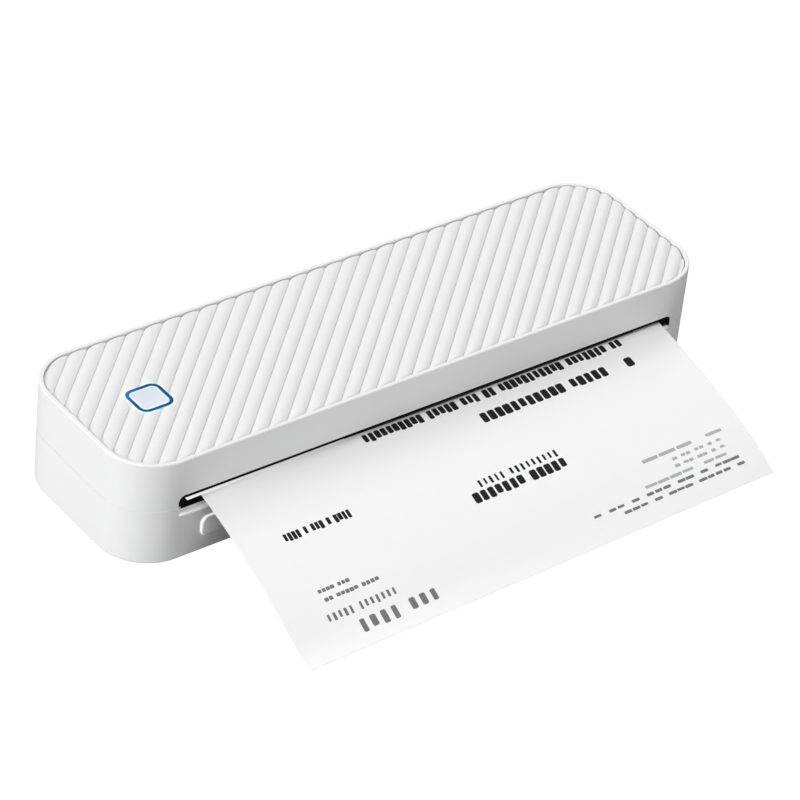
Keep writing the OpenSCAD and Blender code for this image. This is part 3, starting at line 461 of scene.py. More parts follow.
# The main board carries the motor driver, the head driver and the charger. Its parts are small
# ceramic blocks with tinned ends, black packages and white plugs, soldered on by machine.
board_green = finish("board_green", (0.01, 0.12, 0.05), (0.015, 0.17, 0.07), patch=0.003,
                     rough=(0.25, 0.4), grain=0.0004, relief=0.00001)
chip_black = finish("chip_black", (0.015, 0.015, 0.016), (0.022, 0.022, 0.023), patch=0.003,
                    rough=(0.4, 0.55), grain=0.0002, relief=0.00001)
ceramic_tan = finish("ceramic_tan", (0.35, 0.24, 0.13), (0.28, 0.19, 0.1), patch=0.002,
                     rough=(0.4, 0.5), grain=0.0002, relief=0.000005)
tinned = finish("tinned", (0.7, 0.7, 0.68), (0.6, 0.6, 0.58), patch=0.001,
                rough=(0.25, 0.35), grain=0.0002, relief=0.000005, metal=1.0)
plug_white = finish("plug_white", (0.7, 0.68, 0.6), (0.65, 0.63, 0.56), patch=0.004,
                    rough=(0.35, 0.45), grain=0.0003, relief=0.000005)
socket_steel = finish("socket_steel", (0.7, 0.7, 0.69), (0.6, 0.6, 0.59), patch=0.002,
                      rough=(0.2, 0.3), grain=0.0003, relief=0.000004, metal=1.0)
dress(board_green, "main_board", "button_board")
dress(socket_steel, "usb_socket")
BOARD_THICK = 0.0016
CHIP = 0.009
CHIP_SKIN = 0.00005
CHIP_EDGE = 0.0002
CHIP_SHARES = (-0.34, -0.12, 0.12, 0.3)   # places along the board
LEGS = 9                     # on each of a package's four sides
LEG_STEP = 0.0009
LEG_HALF = 0.0002
LEG_LONG = 0.001
LEG_THICK = 0.00035
SOFT = 0.0001                # how far the smallest blocks' edges are softened
low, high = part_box("main_board")
board_top = low.z + BOARD_THICK
middle_x, middle_y = (low.x + high.x) / 2, (low.y + high.y) / 2
chip_spots = [(middle_x + share * (high.x - low.x), middle_y) for share in CHIP_SHARES]
chips, legs = bmesh.new(), bmesh.new()
for x, y in chip_spots:
    reach = CHIP / 2 + CHIP_SKIN
    brick(chips, (x - reach, y - reach, board_top + SOFT),
          (x + reach, y + reach, high.z + CHIP_SKIN), CHIP_EDGE)
    for k in range(LEGS):
        along = (k - (LEGS - 1) / 2) * LEG_STEP
        for side in (-1, 1):
            near, far = sorted((side * CHIP / 2, side * (CHIP / 2 + LEG_LONG)))
            brick(legs, (x + along - LEG_HALF, y + near, board_top),
                  (x + along + LEG_HALF, y + far, board_top + LEG_THICK), SOFT)
            brick(legs, (x + near, y + along - LEG_HALF, board_top),
                  (x + far, y + along + LEG_HALF, board_top + LEG_THICK), SOFT)
piece("board_packages", chips, [chip_black], "base")
piece("package_legs", legs, [tinned], "base")

BLOCKS = 46
BLOCK_SIZES = ((0.002, 0.0012), (0.0016, 0.0008), (0.0032, 0.0016))
BLOCK_MARGIN = (0.004, 0.002)
SCREW_IN = 0.004
CHIP_CLEAR = (CHIP / 2 + 0.003, CHIP / 2 + 0.0022)
SCREW_CLEAR = (0.0045, 0.0035)
BLOCK_CLEAR = (0.0042, 0.0024)
TIN_SHARE = 0.3              # where a block's tinned end starts, as a share of its length
TIN_END = 0.00008
TIN_SKIN = 0.00005
screw_spots = [(x, y) for x in (low.x + SCREW_IN, high.x - SCREW_IN)
               for y in (low.y + SCREW_IN, high.y - SCREW_IN)]


def close_to(x, y, spots, clear):
    """Whether a place is nearer to one of the spots than the clearances along X and Y."""
    return any(abs(x - a) < clear[0] and abs(y - b) < clear[1] for a, b in spots)


scatter = random.Random(7)
blocks, ends = bmesh.new(), bmesh.new()
placed = []
while len(placed) < BLOCKS:
    x = scatter.uniform(low.x + BLOCK_MARGIN[0], high.x - BLOCK_MARGIN[0])
    y = scatter.uniform(low.y + BLOCK_MARGIN[1], high.y - BLOCK_MARGIN[1])
    long, wide = scatter.choice(BLOCK_SIZES)
    if (close_to(x, y, chip_spots, CHIP_CLEAR) or close_to(x, y, screw_spots, SCREW_CLEAR)
            or close_to(x, y, placed, BLOCK_CLEAR)):
        continue
    placed.append((x, y))
    block_top = board_top + wide * 0.8
    brick(blocks, (x - long / 2, y - wide / 2, board_top), (x + long / 2, y + wide / 2, block_top), SOFT)
    for side in (-1, 1):
        near, far = sorted((side * long * TIN_SHARE, side * (long / 2 + TIN_END)))
        brick(ends, (x + near, y - wide / 2 - TIN_SKIN, board_top),
              (x + far, y + wide / 2 + TIN_SKIN, block_top + TIN_SKIN), SOFT)
piece("board_blocks", blocks, [ceramic_tan], "base")
piece("block_ends", ends, [tinned], "base")

PLUG_PLACES = (-0.0845, -0.0205, 0.012, 0.041)   # the middles of the plugs, along the board
PLUG_SIZE = (0.008, 0.004, 0.0042)
PLUG_IN = 0.0008
plugs = bmesh.new()
for x in PLUG_PLACES:
    brick(plugs, (x - PLUG_SIZE[0] / 2, low.y + PLUG_IN, board_top),
          (x + PLUG_SIZE[0] / 2, low.y + PLUG_IN + PLUG_SIZE[1], board_top + PLUG_SIZE[2]), 0.0003)
piece("board_plugs", plugs, [plug_white], "base")

# The print head is a glazed ceramic strip, bonded to a drawn aluminium heat sink. Its springs
# hang it in the cover, above the roller.
head_ceramic = finish("head_ceramic", (0.62, 0.58, 0.5), (0.55, 0.51, 0.44), patch=0.003,
                      rough=(0.2, 0.35), grain=0.0002, relief=0.000004)
sink_aluminium = finish("sink_aluminium", (0.75, 0.76, 0.77), (0.66, 0.67, 0.68), patch=0.004,
                        rough=(0.3, 0.45), grain=0.0003, relief=0.00001, metal=1.0, stretch=(0.05, 1, 1))
dress(head_ceramic, "print_head")
dress(sink_aluminium, "heat_sink")

# The ribbon is a black film, inked on one side. It is wound on two grey spools in the cover
# and runs from one to the other under the print head.
spool_grey = finish("spool_grey", (0.3, 0.31, 0.32), (0.26, 0.27, 0.28), patch=0.004,
                    rough=(0.4, 0.5), grain=0.0003, relief=0.000008)
ribbon_black = finish("ribbon_black", (0.012, 0.012, 0.014), (0.02, 0.02, 0.022), patch=0.003,
                      rough=(0.12, 0.22), grain=0.0006, relief=0.00001, stretch=(0.2, 1, 1))
dress(spool_grey, "supply_spool", "take_up_spool")
ROLL_BORE = 0.00265
ROLL_TURNS = 12
ROLL_BANDS = 24
ROLL_SIDES = 48
ROLL_GAP = 0.0002            # the wound film stays this far inside the roll's ends
TURN_STEP = 0.00012          # every second turn lies this much deeper at the ends
BAND_STEP = 0.00002


def wound_roll(name, node, body):
    """Film wound on a core: its turns show as fine steps at both ends and as soft bands."""
    low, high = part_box(node)
    y, z, radius = (low.y + high.y) / 2, (low.z + high.z) / 2, (high.z - low.z) / 2
    profile = [(low.x + ROLL_GAP + TURN_STEP * (k % 2),
                ROLL_BORE + (radius - ROLL_BORE) * k / ROLL_TURNS) for k in range(ROLL_TURNS + 1)]
    for k in range(1, ROLL_BANDS):
        profile.append((low.x + (high.x - low.x) * k / ROLL_BANDS, radius - BAND_STEP * (k % 3)))
    profile += [(high.x - (x - low.x), r) for x, r in reversed(profile[:ROLL_TURNS + 1])]
    turns = [2 * math.pi * k / ROLL_SIDES for k in range(ROLL_SIDES)]
    roll = bmesh.new()
    loft(roll, [[(x, y + r * math.cos(turn), z + r * math.sin(turn)) for turn in turns] for x, r in profile],
         ring=True)
    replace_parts(piece(name, roll, [ribbon_black], body, sharp=20), node)


wound_roll("supply_winding", "supply_roll", "supply")
wound_roll("take_up_winding", "take_up_roll", "take_up")

FILM = 0.0001
FILM_SAG = 1.25              # 1 would be a straight run from the spool to the head
FRONT_STEPS = 6
REAR_STEPS = 8
low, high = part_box("ribbon_film")
head_low, head_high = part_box("print_head")
film_rise = high.z - FILM - low.z


def film_run(spool_y, head_y, steps):
    """The film's way from a spool down to the print head, as Y and Z."""
    return [(spool_y + (head_y - spool_y) * k / steps, low.z + film_rise * (1 - k / steps) ** FILM_SAG)
            for k in range(steps + 1)]


under = film_run(low.y, head_low.y, FRONT_STEPS) + film_run(high.y, head_high.y, REAR_STEPS)[::-1]
film = bmesh.new()
loft(film, [[(x, y, z) for y, z in under] + [(x, y, z + FILM) for y, z in reversed(under)]
            for x in (low.x, high.x)])
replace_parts(piece("ribbon_web", film, [ribbon_black], "cover", sharp=60), "ribbon_film")

# The top cover is moulded in the same white ABS as the tray, with a crisp outer edge. It swings
# on two steel pins at the back.
dress(shell_white, "top_cover")

# A ribbed panel is pressed into the cover's rim. Its pillow ribs run across at an angle, with a
# sharp groove between them, and light from the key's ring spills onto its first millimetre.
RIB_STEP = 0.0079991         # along X, from groove to groove
RIB_TURN = math.radians(43.019)
RIB_START = -0.05892         # a groove crosses the middle line near here
RIB_DEPTH = 0.00085
RIBS = range(-17, 33)
PILLOW = 2.2                 # how flat a rib's crest is
PANEL_LOW = 0.042
PANEL_INSET = 0.0020
CREST = 0.04385
NICK = 0.0003                # the sharp V at the bottom of each groove
NICK_SHARE = 0.035
EDGE_WIDE = 0.0006           # the panel's outer edge is rounded over
EDGE_DROP = 0.0003
HOLE_GAP = 0.00008
ring_low, ring_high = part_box("button_light_ring")
STEM_X = (ring_low.x + ring_high.x) / 2
KEY = (STEM_X - 0.0008, -0.0007)
RING_HALF = (0.00732, 0.00716)
RING_CORNER = 0.0038
RING_WIDTH = 0.00135


def panel_outline(inset):
    """Outline of the panel, or a line at an inset from it."""
    inset += PANEL_INSET
    return rounded(BODY_HALF[0] - inset, BODY_HALF[1] - inset, CORNER - inset, steps=CORNER_STEPS)


def edge_distance(x, y):
    """How far a point is inside the panel's outline."""
    dx = abs(x) - (BODY_HALF[0] - CORNER)
    dy = abs(y) - (BODY_HALF[1] - CORNER)
    outside = math.hypot(max(dx, 0), max(dy, 0))
    return CORNER - PANEL_INSET - outside - min(max(dx, dy), 0)


def fan(x, y):
    """The ribs fan out a little: how far a groove is off its even place along X."""
    a, b = x / 0.1, y / 0.03
    return (0.124 + 0.138 * b - 0.242 * b * b - 0.147 * a + 1.131 * a * b - 0.565 * a * a) * mm


def rib_height(x, y):
    """Height of the ribbed surface: pillows, sharp grooves, and the rounded outer edge."""
    phase = ((x - fan(x, y) - y / math.tan(RIB_TURN) - RIB_START) / RIB_STEP) % 1.0
    height = CREST - RIB_DEPTH * abs(2 * phase - 1) ** PILLOW
    height -= NICK * max(0.0, 1 - min(phase, 1 - phase) / NICK_SHARE)
    return height - EDGE_DROP * max(0.0, 1 - edge_distance(x, y) / EDGE_WIDE) ** 2


def flat_mesh(outlines, loose_lines, holes=0):
    """Triangles between outlines in the plane. The first outline is the border, the last
    ones given by holes are cut out. Returns points and the triangles with their owners."""
    points, edges, faces = [], [], []
    for outline, is_face in outlines:
        first, count = len(points), len(outline)
        points.extend(Vector(p) for p in outline)
        edges.extend((first + k, first + (k + 1) % count) for k in range(count))
        if is_face:
            faces.append(list(range(first, first + count)))
    for line in loose_lines:
        first = len(points)
        points.extend(Vector(p) for p in line)
        edges.extend((first + k, first + k + 1) for k in range(len(line) - 1))
    verts, _, tris, _, _, owner = delaunay_2d_cdt(points, edges, faces, 1, 1e-8)
    cut = set(range(len(faces) - holes, len(faces)))
    kept = [(tri, who) for tri, who in zip(tris, owner) if 0 in who and not cut & set(who)]
    return verts, kept


def plate(shape, flat_points, flat_faces, top, bottom):
    """Plate over a flat mesh: an upper and a lower skin, and walls round its border. Returns
    the upper faces, the lower faces and the lower points."""
    used = sorted({v for face, _ in flat_faces for v in face})
    upper = {v: shape.verts.new(top(*flat_points[v])) for v in used}
    lower = {v: shape.verts.new(bottom(*flat_points[v])) for v in used}
    tops, bottoms, border = [], [], set()
    for face, _ in flat_faces:
        tops.append(shape.faces.new([upper[v] for v in face]))
        bottoms.append(shape.faces.new([lower[v] for v in reversed(face)]))
        for a, b in zip(face, face[1:] + face[:1]):
            border ^= {(a, b)} if (b, a) not in border else {(b, a)}
    for a, b in border:
        shape.faces.new((upper[b], upper[a], lower[a], lower[b]))
    return tops, bottoms, list(lower.values())


# Mesh lines run along each rib at these shares of its width, closer where the surface is steep.
RIB_SHARES = (0.0, NICK_SHARE, 0.1, 0.2, 0.32, 0.44, 0.56, 0.68, 0.8, 0.9, 1 - NICK_SHARE)
LINE_STEPS = 12
PAST_END = 0.012             # how far the lines may run on past the panel's ends
key_hole = rounded(RING_HALF[0] + HOLE_GAP, RING_HALF[1] + HOLE_GAP, RING_CORNER + HOLE_GAP, KEY)
rib_lines = []
for rib in RIBS:
    for share in RIB_SHARES:
        line = []
        for k in range(LINE_STEPS + 1):
            y = BODY_HALF[1] * (2 * k / LINE_STEPS - 1)
            even = RIB_START + (rib + share) * RIB_STEP + y / math.tan(RIB_TURN)
            x = even
            for _ in range(3):
                x = even + fan(x, y)
            if abs(x) < BODY_HALF[0] + PAST_END:
                line.append((x, y))
        if len(line) > 1:
            rib_lines.append(line)
borders = [(panel_outline(inset), inset == 0.0) for inset in (0.0, 0.00015, 0.00035, EDGE_WIDE)]
flat_points, flat_faces = flat_mesh(borders + [(key_hole, True)], rib_lines, holes=1)
panel = bmesh.new()
_, floor_faces, floor_points = plate(panel, flat_points, flat_faces, lambda x, y: (x, y, rib_height(x, y)),
                                     lambda x, y: (x, y, PANEL_LOW))
panel.normal_update()
bmesh.ops.dissolve_limit(panel, angle_limit=0.001, verts=floor_points,
                         edges=list(dict.fromkeys(e for f in floor_faces for e in f.edges)))
panel_white = finish("panel_white", (0.825, 0.825, 0.825), (0.805, 0.808, 0.81), patch=0.03,
                     rough=(0.45, 0.55), grain=0.0003, relief=0.000005)


def ring_glow(material, half, radius, reach, colour, strength, inside=False):
    """Tints a surface near the ring's edge with the ring's light, less and less with distance."""
    tree = material.node_tree
    surface = tree.nodes["Principled BSDF"]
    place = tree.nodes.new("ShaderNodeTexCoord")
    apart = tree.nodes.new("ShaderNodeSeparateXYZ")
    tree.links.new(place.outputs["Object"], apart.inputs[0])

    def sum_up(operation, first, second=None):
        """One step of arithmetic on one or two values, each a number or a socket."""
        step = tree.nodes.new("ShaderNodeMath")
        step.operation = operation
        for socket, value in zip(step.inputs, (first, second)):
            if isinstance(value, float):
                socket.default_value = value
            elif value is not None:
                tree.links.new(value, socket)
        return step.outputs[0]

    x, y = [sum_up("SUBTRACT", sum_up("ABSOLUTE", sum_up("SUBTRACT", apart.outputs[axis], KEY[axis])),
                   half[axis] - radius) for axis in (0, 1)]
    out_x, out_y = sum_up("MAXIMUM", x, 0.0), sum_up("MAXIMUM", y, 0.0)
    square_x, square_y = sum_up("MULTIPLY", out_x, out_x), sum_up("MULTIPLY", out_y, out_y)
    corner = sum_up("SQRT", sum_up("ADD", square_x, square_y))
    away = sum_up("SUBTRACT", sum_up("ADD", corner, sum_up("MINIMUM", sum_up("MAXIMUM", x, y), 0.0)), radius)
    fade = tree.nodes.new("ShaderNodeMapRange")
    fade.interpolation_type = "SMOOTHSTEP"
    fade.inputs["From Min"].default_value = -reach if inside else 0.0
    fade.inputs["From Max"].default_value = 0.0 if inside else reach
    fade.inputs["To Min"].default_value = 0.0 if inside else strength
    fade.inputs["To Max"].default_value = strength if inside else 0.0
    tree.links.new(away, fade.inputs["Value"])
    surface.inputs["Emission Color"].default_value = (*colour, 1)
    tree.links.new(fade.outputs["Result"], surface.inputs["Emission Strength"])


ring_glow(panel_white, RING_HALF, RING_CORNER, reach=0.0016, colour=(0.35, 0.8, 1.0), strength=0.25)
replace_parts(piece("ribbed_top_panel", panel, [panel_white], "cover"), "ribbed_panel")

# The key's light ring is moulded in clear plastic, with a blue face. It is a tube down to the
# lamp board, under a square flange in the panel's hole, and the lamp shines at its left corner.
LAMP_FROM = 0.0045           # the lamp's light grows between these distances from the middle
LAMP_TO = 0.0085
LAMP_LIGHT = 0.35
FLANGE_LOW = PANEL_LOW + 0.00002
TUBE_TOP = FLANGE_LOW + 0.00005
TUBE_WALL = 0.0009
TUBE_CORNER = 0.0036
BLUNT = 0.00005
DIAGONAL = math.sqrt(0.5)
ring_blue = finish("ring_blue", (0.002, 0.065, 0.21), (0.003, 0.08, 0.26), patch=0.006,
                   rough=(0.45, 0.55), grain=0.0004, relief=0.000003, specular=0.1)
tree = ring_blue.node_tree
surface = tree.nodes["Principled BSDF"]
place = tree.nodes.new("ShaderNodeTexCoord")
toward = tree.nodes.new("ShaderNodeVectorMath")
toward.operation = "DOT_PRODUCT"
toward.inputs[1].default_value = (-DIAGONAL, DIAGONAL, 0)
lamp = tree.nodes.new("ShaderNodeMapRange")
lamp_place = (KEY[1] - KEY[0]) * DIAGONAL
lamp.inputs["From Min"].default_value = lamp_place + LAMP_FROM
lamp.inputs["From Max"].default_value = lamp_place + LAMP_TO
lamp.inputs["To Max"].default_value = LAMP_LIGHT
tree.links.new(place.outputs["Object"], toward.inputs[0])
tree.links.new(toward.outputs["Value"], lamp.inputs["Value"])
tree.links.new(lamp.outputs["Result"], surface.inputs["Emission Strength"])
surface.inputs["Emission Color"].default_value = (0.06, 0.35, 0.75, 1)
ring_clear = finish("ring_clear", (0.75, 0.8, 0.84), (0.72, 0.77, 0.82), patch=0.006,
                    rough=(0.25, 0.35), grain=0.0004, relief=0.000003)
tube_half = (ring_high.x - ring_low.x) / 2
ring = bmesh.new()
profile = ((0.0, ring_low.z), (0.0, TUBE_TOP), (TUBE_WALL, TUBE_TOP), (TUBE_WALL, ring_low.z))
loft(ring, [[(*p, z) for p in rounded(tube_half - inset, tube_half - inset, TUBE_CORNER - inset,
                                      (STEM_X, 0))] for inset, z in profile], ring=True)
profile = ((0.0, FLANGE_LOW), (0.0, ring_high.z - BLUNT), (BLUNT, ring_high.z),
           (RING_WIDTH - BLUNT, ring_high.z), (RING_WIDTH, ring_high.z - BLUNT), (RING_WIDTH, FLANGE_LOW))
loft(ring, [[(*p, z) for p in rounded(RING_HALF[0] - inset, RING_HALF[1] - inset, RING_CORNER - inset, KEY)]
            for inset, z in profile], ring=True)
for face in ring.faces:
    face.material_index = 0 if face.calc_center_median().z > ring_high.z - BLUNT * 0.8 else 1
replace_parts(piece("lit_ring", ring, [ring_blue, ring_clear], "cover"), "button_light_ring")

# The power key is moulded in pale, milky ABS. Its cap fills the ring, and a hub and a stem run
# down from the cap through the key's spring to the switch.
CAP_GAP = 0.0001
CAP_HALF = [half - RING_WIDTH - CAP_GAP for half in RING_HALF]
CAP_CORNER = RING_CORNER - RING_WIDTH - CAP_GAP
CAP_THICK = 0.00095
CAP_EDGE = 0.0002
CAP_EDGE_STEPS = 4
STEM = 0.0021                # radius
HUB = 0.0032                 # radius
cap_low, cap_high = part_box("power_button")
cap_under = cap_high.z - CAP_THICK
cap_pale = finish("cap_pale", (0.70, 0.76, 0.84), (0.68, 0.74, 0.83), patch=0.01,
                  rough=(0.3, 0.4), grain=0.0003, relief=0.000003)
ring_glow(cap_pale, CAP_HALF, CAP_CORNER, reach=0.0012, colour=(0.3, 0.75, 1.0), strength=0.35, inside=True)
cap = bmesh.new()
cap_loops = [(0.0, cap_under)]
for step in range(CAP_EDGE_STEPS + 1):
    turn = math.pi / 2 * step / CAP_EDGE_STEPS
    cap_loops.append((CAP_EDGE * (1 - math.cos(turn)), cap_high.z - CAP_EDGE * (1 - math.sin(turn))))
loft(cap, [[(*p, z) for p in rounded(CAP_HALF[0] - inset, CAP_HALF[1] - inset, CAP_CORNER - inset, KEY)]
           for inset, z in cap_loops])
for radius, bottom, top in ((STEM, cap_low.z, cap_under), (HUB, PANEL_LOW, cap_under + 0.0001)):
    loft(cap, [[(STEM_X + radius * math.cos(math.pi * k / 16), radius * math.sin(math.pi * k / 16), z)
                for k in range(32)] for z in (bottom, top)])
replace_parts(piece("key_cap", cap, [cap_pale], "button"), "power_button")

# The exit bar is moulded in thin white ABS and lies over the sheet in the slot, with three lugs
# behind the wall. It carries a painted highlight: its white is brighter than the shell's and
# glows faintly. At the left it stands out of the wall, and it runs back towards the middle.
BAR_THICK = 0.0006
BAR_TIP = 0.0013                  # it runs past the sheet at the left
BAR_BACK = -0.0367                # its front edge where it has run back
BAR_MIDDLE = 0.003                # where along X it has run back
# The bevel of its front: how far back each point is, and how high over the underside.
BAR_FACE = ((0.0009, BAR_THICK), (0.00012, 0.00018), (0.0, 0.00005), (0.00015, -0.00005))
LUG_HALF = 0.006
LUG_DEEP = 0.0012
LUG_SHARES = (0.1, 0.5, 0.9)      # places across the sheet
bar_white = finish("bar_white", (0.93, 0.93, 0.93), (0.92, 0.92, 0.92), patch=0.02,
                   rough=(0.14, 0.2), grain=0.0003, relief=0.000002, painted_glow=0.2)
bar_low, bar_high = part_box("exit_bar")
bar_top = bar_low.z + BAR_THICK
bar = bmesh.new()
loft(bar, [[(x, nose + back, bar_low.z + rise) for back, rise in BAR_FACE]
           + [(x, WALL_INSIDE, bar_low.z), (x, WALL_INSIDE, bar_top)]
           for x, nose in ((bar_low.x - BAR_TIP, bar_low.y), (bar_low.x, bar_low.y),
                           (BAR_MIDDLE, BAR_BACK), (bar_high.x, BAR_BACK))])
brick(bar, (SHEET_SIDES[0], WALL_INSIDE - 0.00002, bar_low.z),
      (SHEET_SIDES[1], bar_high.y, bar_top), 0.0001)
for share in LUG_SHARES:
    x = SHEET_SIDES[0] + share * (SHEET_SIDES[1] - SHEET_SIDES[0])
    brick(bar, (x - LUG_HALF, WALL_INSIDE, bar_top - 0.00001),
          (x + LUG_HALF, WALL_INSIDE + LUG_DEEP, bar_high.z), 0.0002)
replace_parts(piece("paper_exit_bar", bar, [bar_white], "cover"), "exit_bar")

# A black rubber lip lines the slot's upper edge, from the left end over both rounded corners to
# the right end. At the left it ends in a flat crescent on the wall. It is pushed on the edge. It
# is painted shade: it draws the dark gap under the slot's upper edge and the slot's dark left end
# in black.
SLOT_TOP = 0.0285
SLOT_CORNER = 0.0022
SLOT_STEPS = 6
LIP_HIGH = 0.00063
LIP_PROUD = 0.0006
LIP_DEEP = 0.0018
LIP_BITE = 0.0001            # it bites this far into the wall's edge
LIP_ROOT = 0.00004
LIP_FOOT = PARTING + 0.0005
CRESCENT_OUTER = (-0.10845, 0.02555, 0.003)    # the middle's X and Z, and the radius
CRESCENT_INNER = (-0.1083, 0.0263, 0.0021)
CRESCENT_TAIL = 0.0014       # how far its end runs on below the quarter turn
CRESCENT_STEPS = 8
CRESCENT_PROUD = (0.00006, 0.0001)
lip_painted_shade = finish("lip_painted_shade", (0.004, 0.004, 0.004), (0.007, 0.007, 0.007), patch=0.003,
                    rough=(0.7, 0.8), grain=0.0002, relief=0.000008, specular=0.06)
# Each place on the slot's edge is X, Z, the way into the slot, and its share of the corner.
slot_edge = [(SLOT_ENDS[0], LIP_FOOT, (1, 0), 0)]
for k in range(SLOT_STEPS + 1):
    turn = math.pi - math.pi / 2 * k / SLOT_STEPS
    slot_edge.append((SLOT_ENDS[0] + SLOT_CORNER * (1 + math.cos(turn)),
                      SLOT_TOP - SLOT_CORNER * (1 - math.sin(turn)),
                      (-math.cos(turn), -math.sin(turn)), k / SLOT_STEPS))
slot_edge += [(sum(SLOT_ENDS) - x, z, (-nx, nz), share) for x, z, (nx, nz), share in reversed(slot_edge)]


def lip_section(x, z, way, share):
    """Section of the lip at a place on the slot's edge."""
    back = WALL_FRONT + LIP_DEEP
    return [(x + way[0] * inward, y, z + way[1] * inward)
            for inward, y in ((-LIP_BITE, WALL_FRONT - LIP_ROOT), (LIP_HIGH, WALL_FRONT - LIP_PROUD * share),
                              (LIP_HIGH, back), (-LIP_BITE, back))]


lip = bmesh.new()
loft(lip, [lip_section(*spot) for spot in slot_edge])
crescent = []
for k in range(CRESCENT_STEPS + 2):
    turn = math.pi - math.pi / 2 * max(k - 1, 0) / CRESCENT_STEPS
    drop = CRESCENT_TAIL if k == 0 else 0.0
    (edge_x, edge_z), (hole_x, hole_z) = [
        (x + radius * math.cos(turn), z + radius * math.sin(turn) - fall * drop)
        for (x, z, radius), fall in ((CRESCENT_OUTER, 1.0), (CRESCENT_INNER, 1.5))]
    crescent.append([(edge_x, WALL_FRONT + LIP_ROOT, edge_z),
                     (edge_x, WALL_FRONT - CRESCENT_PROUD[0], edge_z),
                     (hole_x, WALL_FRONT - CRESCENT_PROUD[1], hole_z),
                     (hole_x, WALL_FRONT + LIP_ROOT, hole_z)])
loft(lip, crescent)
piece("slot_shade_lip", lip, [lip_painted_shade], "cover")

# A narrow wiper of dark grey brush cloth is glued under the slot's upper edge, in front of the
# sheet's middle. It is painted shade: it darkens the band just inside the slot, where the slot's
# shade falls on the sheet.
WIPER_FRONT = -0.03835
WIPER_BACK = -0.0376
WIPER_TOP = 0.02795
# X and Z along its lower edge.
WIPER_EDGE = ((-0.040, 0.0274), (-0.012, 0.02712), (0.070, 0.02712), (0.095, 0.0274))
wiper_painted_shade = finish("wiper_painted_shade", (0.03, 0.03, 0.03), (0.05, 0.05, 0.05), patch=0.002,
                    rough=(0.8, 0.9), grain=0.0003, relief=0.00001, specular=0.1)
wiper = bmesh.new()
loft(wiper, [[(x, WIPER_FRONT, WIPER_TOP), (x, WIPER_FRONT, z), (x, WIPER_FRONT + 0.00015, z),
              (x, WIPER_BACK, WIPER_TOP)] for x, z in WIPER_EDGE])
piece("sheet_shade_wiper", wiper, [wiper_painted_shade], "cover")

# A fine half-round bead is moulded on the cover round the slot, from the end of the left corner
# on. It catches the light above the black lip.
BEAD = 0.0002
half_turn = [math.pi * k / 6 for k in range(7)]
frame_bead = bmesh.new()
loft(frame_bead, [[(x - nx * BEAD * (1 + math.cos(turn)), WALL_FRONT - BEAD * math.sin(turn),
                    z - nz * BEAD * (1 + math.cos(turn))) for turn in half_turn]
                  for x, z, (nx, nz), _ in slot_edge[SLOT_STEPS + 1:]])
piece("slot_bead", frame_bead, [shell_white], "cover", sharp=60)

# The release tab is pressed to free the cover. It is moulded in white ABS with a well rounded
# rim and a bevelled front edge, and sits on the latch bar behind the wall. Its rim carries a
# painted highlight: a brighter white that glows faintly.
TAB_CORNER = 0.0026
TAB_PROUD = 0.00015
tab_rim_painted_highlight = finish("tab_rim_painted_highlight", (0.93, 0.93, 0.93), (0.92, 0.92, 0.92), patch=0.02,
                        rough=(0.2, 0.3), grain=0.0003, relief=0.000002, painted_glow=0.38)
tab_low, tab_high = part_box("release_tab")
tab_half = ((tab_high.x - tab_low.x) / 2, (tab_high.z - tab_low.z) / 2)
tab_middle = ((tab_low.x + tab_high.x) / 2, (tab_low.z + tab_high.z) / 2)
tab_front = tab_low.y - TAB_PROUD
# From the back to the front: how far in from its outline, and Y.
tab_loops = ((0.0, tab_high.y), (0.0, tab_front + 0.0004), (0.00005, tab_front + 0.0003),
             (0.0004, tab_front + 0.00004), (0.00048, tab_front))
tab = bmesh.new()
loft(tab, [[(x, y, z) for x, z in rounded(tab_half[0] - inset, tab_half[1] - inset,
                                          TAB_CORNER - inset, tab_middle)] for inset, y in tab_loops])
tab.normal_update()
# The faces that do not look to the front form the rim, which gets the painted highlight.
for face in tab.faces:
    face.material_index = 1 if face.normal.y > -0.5 else 0
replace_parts(piece("release_key", tab, [shell_white, tab_rim_painted_highlight], "latch"), "release_tab")

# The sheet is plain printing paper, 210 mm wide. It lies flat inside, droops in front of the
# slot and twists a little, so that its left corner touches the table. The print is generic:
# rows of plain blocks in the size and tone of headings, lines and a grey column.
PAPER = 0.12 * mm
WIDE = 210.0                 # across the sheet, in mm as the runs along it are
RUN = 80.0                   # from the wall to its front edge
REAR = 29.0                  # Y of its rear edge
WALL = -38.0                 # Y of the wall's front
SKEW = 3.0                   # how far it drifts to the left, SKEW_LENGTH in front of the wall
SKEW_LENGTH = 75
EDGE_STEPS = 400
# Y and Z along its left and its right edge, in mm.
LEFT_EDGE = ((-30, 26.95), (-34, 26.85), (-38, 26.0), (-52, 22.35), (-72, 16.0), (-92, 8.0),
             (-105, 1.9), (-112.2, 0.35))
RIGHT_EDGE = ((-30, 26.95), (-34, 27.0), (-38, 27.05), (-52, 24.5), (-72, 20.5), (-92, 15.2),
              (-105, 10.4), (-113.1, 6.8))


def smooth_through(points, share):
    """Point on a smooth curve through the given ones."""
    place = share * (len(points) - 1)
    k = min(int(place), len(points) - 2)
    u = place - k
    b, c = Vector(points[k]), Vector(points[k + 1])
    a = Vector(points[k - 1]) if k else 2 * b - c
    d = Vector(points[k + 2]) if k + 2 < len(points) else 2 * c - b
    return 0.5 * (2 * b + (c - a) * u + (2 * a - 5 * b + 4 * c - d) * u ** 2
                  + (3 * b - a - 3 * c + d) * u ** 3)


